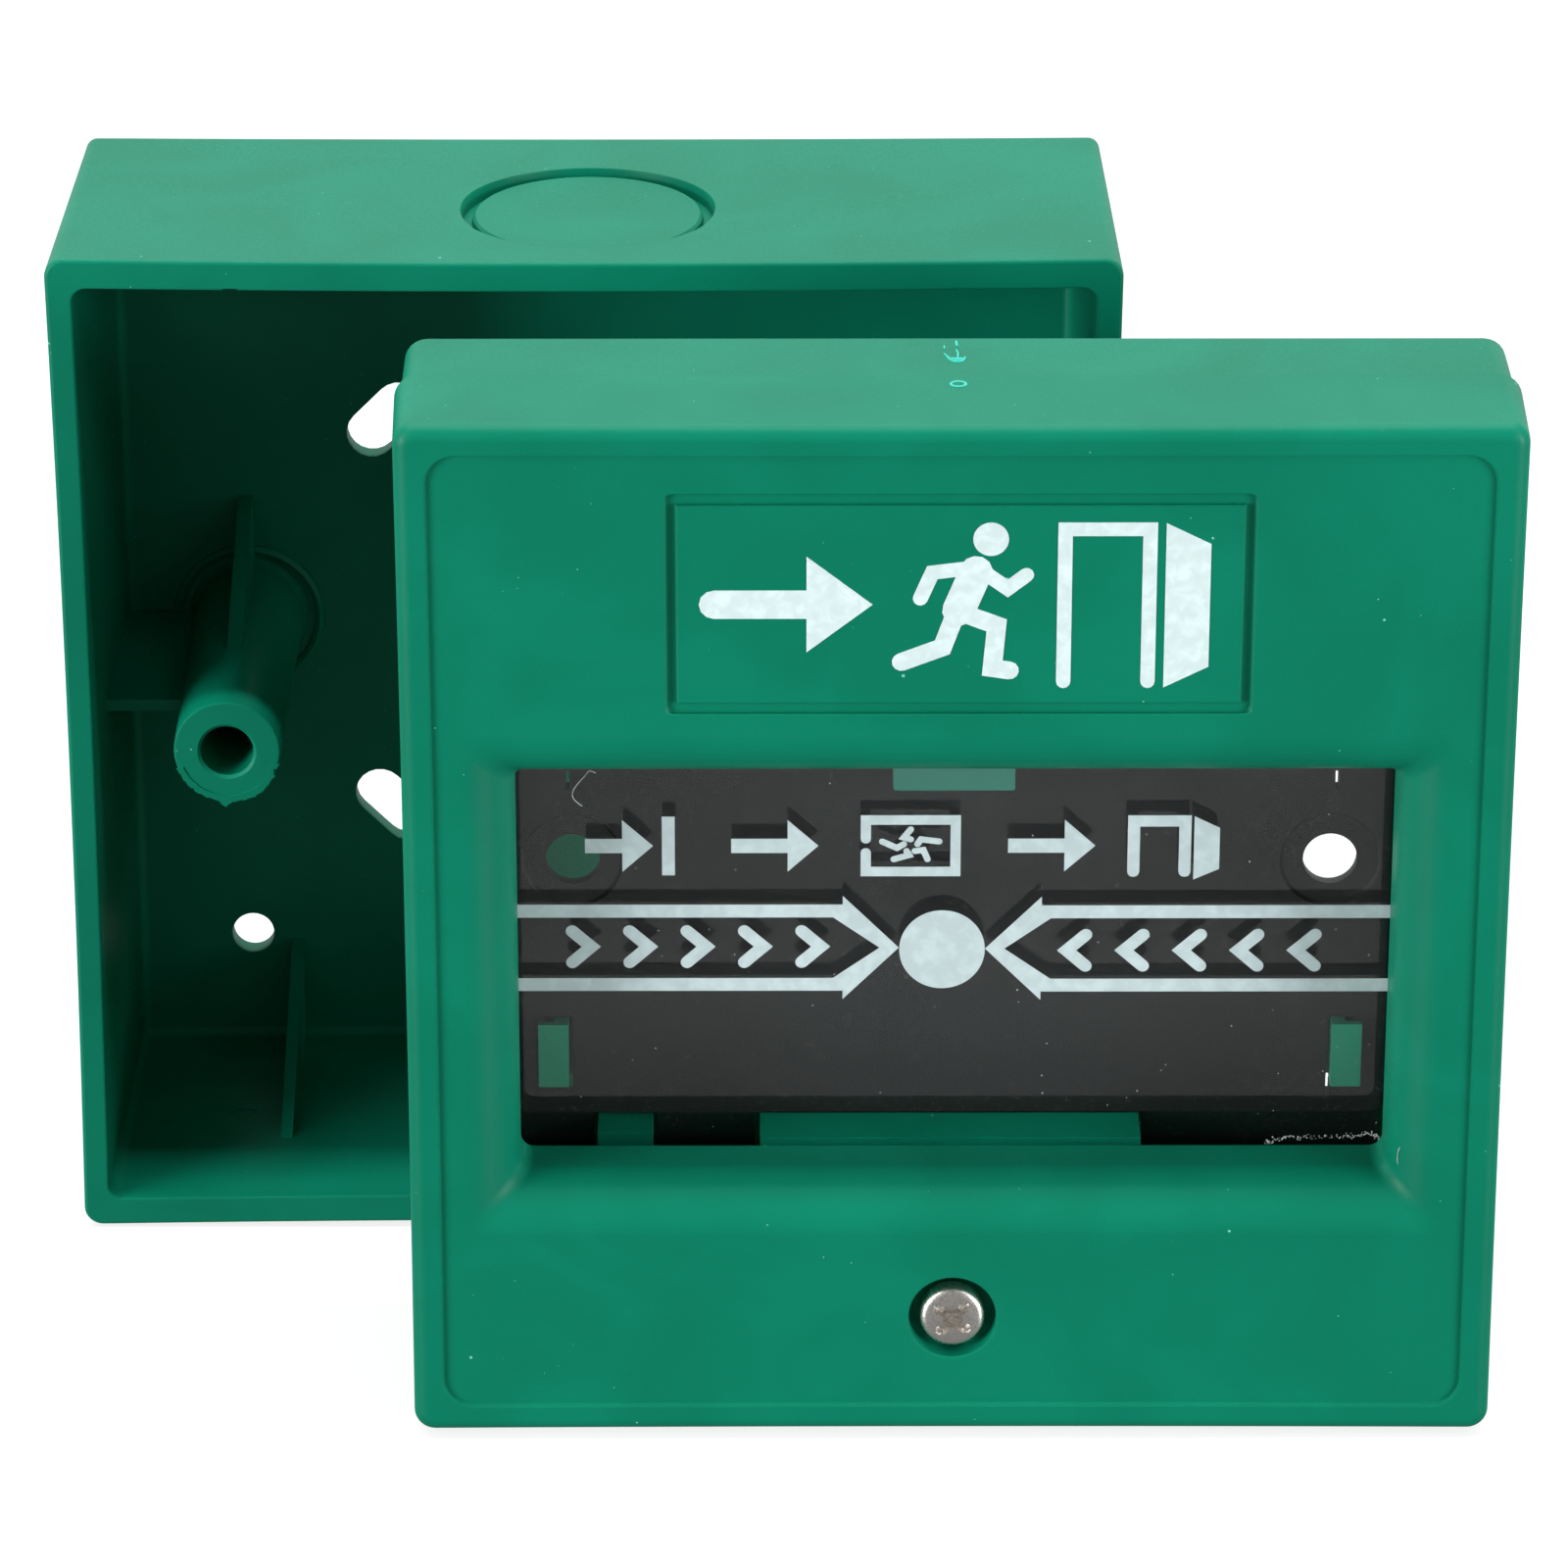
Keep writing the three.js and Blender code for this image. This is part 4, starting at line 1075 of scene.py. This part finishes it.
def gate_marks():
    """Witness marks where the plastic ran in: a ring on the cover, a clawed scar on the frame. Their
    lighter green is partly the marks' own scuffed plastic and partly a painted highlight.
    """
    top = SIDE - 0.17
    ring = loft(circle(0.68, (0, 0), 32), [(0, 0), (0.04, 0.05), (0.18, 0.05), (0.22, 0)], closed=True)
    lay = Matrix.Rotation(math.pi / 2, 4, "X")
    ring.data.transform(Matrix.Translation((-0.05, 8.8, top)) @ lay)
    settle(ring, "gate_ring", "cover", SCUFF_AND_GLINT)
    top = SIDE - (SIDE - FRAME_SIDE) / 2
    bow_path = [(-0.75, 15.6), (-0.45, 14.7), (0.0, 14.35), (0.4, 14.6), (0.62, 15.3)]
    scar = thread([(x, y, top) for x, y in bow_path], 0.1)
    claws = [
        thread([(-0.45, 14.9, top), (0.0, 14.75, top), (0.4, 14.9, top)], 0.17),
        thread([(0.02, 14.7, top), (0.1, 16.2, top), (0.0, 17.0, top)], 0.07),
        thread([(-0.75, 15.6, top), (-0.95, 16.2, top)], 0.07),
        thread([(-0.95, 17.3, top), (-0.9, 17.9, top)], 0.06),
        thread([(0.08, 17.8, top), (0.02, 18.9, top)], 0.1),
    ]
    join(scar, *claws)
    settle(scar, "gate_scar", "unit", SCUFF_AND_GLINT)


def lint():
    """A hair and dust on the pane, and a hair on the rolled edge beside it."""
    front = local_box("glass_pane")[0].y - 0.02
    hair = [(-27.9, 53.7), (-28.4, 53.87), (-28.8, 53.4)]
    hair += [(-29.45, 52.6), (-29.73, 52.0), (-29.6, 51.45), (-29.0, 50.9)]
    piece = thread([(x, front, z) for x, z in hair], 0.035)
    line = [(24.9, 21.5), (25.7, 21.95), (27.2, 22.2)]
    line += [(29.5, 22.1), (31.9, 22.25), (33.4, 22.4), (34.0, 22.0)]
    places = []
    for (x0, z0), (x1, z1) in zip(line, line[1:]):
        for _ in range(22):
            t = dice.random()
            places.append((x0 + t * (x1 - x0), front, z0 + t * (z1 - z0) + dice.gauss(0, 0.13)))
    scattered = [(dice.uniform(-34, 34), front, dice.uniform(22.3, 56)) for _ in range(70)]
    join(piece, grit(places, 0.055), grit(scattered, 0.045))
    piece.data.validate()
    settle(piece, "pane_lint", "pane", LINT)
    curl = thread([(34.9, 2.1, 23.1), (34.85, 2.1, 23.7), (34.9, 2.1, 24.2), (35.0, 2.0, 24.6)], 0.035)
    settle(curl, "cover_lint", "cover", LINT)


gate_marks()
lint()

# ---- Pieces that keep their CAD shape --------------------------------------------------------


def finish_node(node, material, bevel=0.08):
    """Gives a CAD node its finish and rounds its edges with a modifier."""
    piece = frame["nodes"][node]
    piece.data.materials.clear()
    piece.data.materials.append(material)
    if bevel:
        modifier = piece.modifiers.new("edges", "BEVEL")
        modifier.width = bevel * MM
        modifier.segments = 2
        modifier.limit_method = "ANGLE"
        modifier.angle_limit = math.radians(40)


for number in (1, 2, 3):
    finish_node(f"switch_pin_{number}", STEEL, 0.03)
    finish_node(f"terminal_screw_{number}", STEEL, 0.04)
    finish_node(f"terminal_clamp_{number}", BRASS, 0.04)
for word in ("left", "right"):
    finish_node(f"pane_keeper_{word}", STEEL, 0.06)
    finish_node(f"keeper_screw_{word}", STEEL, 0.04)
for number in (1, 2):
    finish_node(f"board_screw_{number}", STEEL, 0.04)
finish_node("pane_gasket", FOAM)
finish_node("screw_insert", BRASS, 0.1)
finish_node("trip_spring", STEEL, 0)
finish_node("switch_board", BOARD, 0.05)
finish_node("switch_body", SWITCH_BLACK, 0.12)
finish_node("switch_lid", SWITCH_BLACK, 0.1)
finish_node("switch_button", RED, 0.1)
finish_node("switch_lever", STEEL, 0.04)
finish_node("terminal_block", TERMINAL, 0.12)

# ---- Floor and light -------------------------------------------------------------------------

CENTRE = Vector((0, 0, MIDDLE * MM))
SQUARE = (0.3, 0.3)
LOW = (0.3, 0.2)
WIDE = (0.8, 0.3)
STRIP = (0.8, 0.03)


def floor():
    """A pale floor that glows a little. It casts no shadow, so the low lamps shine through it."""
    work = bmesh.new()
    bmesh.ops.create_grid(work, x_segments=1, y_segments=1, size=6)
    piece = new_object("floor", work)
    piece.location.z = -0.0002
    surface = Surface("floor_white", (0.3, 0.3, 0.3), 0.9)
    surface.set(Specular_IOR_Level=0.0, Emission_Color=(1, 1, 1, 1), Emission_Strength=0.8)
    piece.data.materials.append(surface.material)
    piece.visible_diffuse = False
    piece.visible_glossy = False
    piece.visible_shadow = False


def softbox(name, place, size, power):
    """A soft lamp that faces the object. The camera doesn't see it, even through the pane."""
    light = bpy.data.lights.new(name, "AREA")
    light.shape = "RECTANGLE"
    light.size, light.size_y = size
    light.energy = power
    lamp = bpy.data.objects.new(name, light)
    scene.collection.objects.link(lamp)
    lamp.location = place
    lamp.rotation_euler = (CENTRE - Vector(place)).to_track_quat("-Z", "Y").to_euler()
    lamp.visible_camera = False
    lamp.visible_transmission = False


def around(azimuth, elevation, distance=0.8):
    """A place round the object. Azimuth 0 is in front of it, and 90 to its right."""
    a, e = math.radians(azimuth), math.radians(elevation)
    towards = Vector((math.sin(a) * math.cos(e), -math.cos(a) * math.cos(e), math.sin(e)))
    return CENTRE + distance * towards


def world(dim, bright, seen):
    """A room with a bright wall behind the object; the camera sees an even pale backdrop."""
    made = bpy.data.worlds.new("room")
    scene.world = made
    made.cycles_visibility.transmission = False
    made.use_nodes = True
    tree = made.node_tree
    nodes, link = tree.nodes, tree.links.new
    place = nodes.new("ShaderNodeTexCoord")
    along = nodes.new("ShaderNodeVectorMath")
    along.operation = "DOT_PRODUCT"
    along.inputs[1].default_value = (0, 0.94, 0.34)
    link(place.outputs["Generated"], along.inputs[0])
    ramp = nodes.new("ShaderNodeMapRange")
    ramp.interpolation_type = "SMOOTHSTEP"
    for key, value in (("From Min", 0.2), ("From Max", 0.9), ("To Min", dim), ("To Max", bright)):
        ramp.inputs[key].default_value = value
    link(along.outputs["Value"], ramp.inputs["Value"])
    path = nodes.new("ShaderNodeLightPath")
    backdrop = nodes.new("ShaderNodeMix")
    link(path.outputs["Is Camera Ray"], backdrop.inputs[0])
    link(ramp.outputs["Result"], backdrop.inputs[2])
    backdrop.inputs[3].default_value = seen
    link(backdrop.outputs[0], nodes["Background"].inputs["Strength"])
    nodes["Background"].inputs["Color"].default_value = (1, 1, 1, 1)


floor()
world(0.2, 0.8, 0.95)
softbox("strip", (0, -0.05, 0.67), STRIP, 3.0)
softbox("behind", around(180, 60), WIDE, 3.0)
for side, word, level, high in ((-1, "left", 4.9, 0.8), (1, "right", 4.1, 0.6)):
    softbox(word + "_level", around(side * 58, 6), SQUARE, level)
    softbox(word + "_high", around(side * 57, 38), SQUARE, high)
    softbox(word + "_low", around(side * 50, -20), LOW, 0.5)
scene.view_settings.view_transform = "Standard"
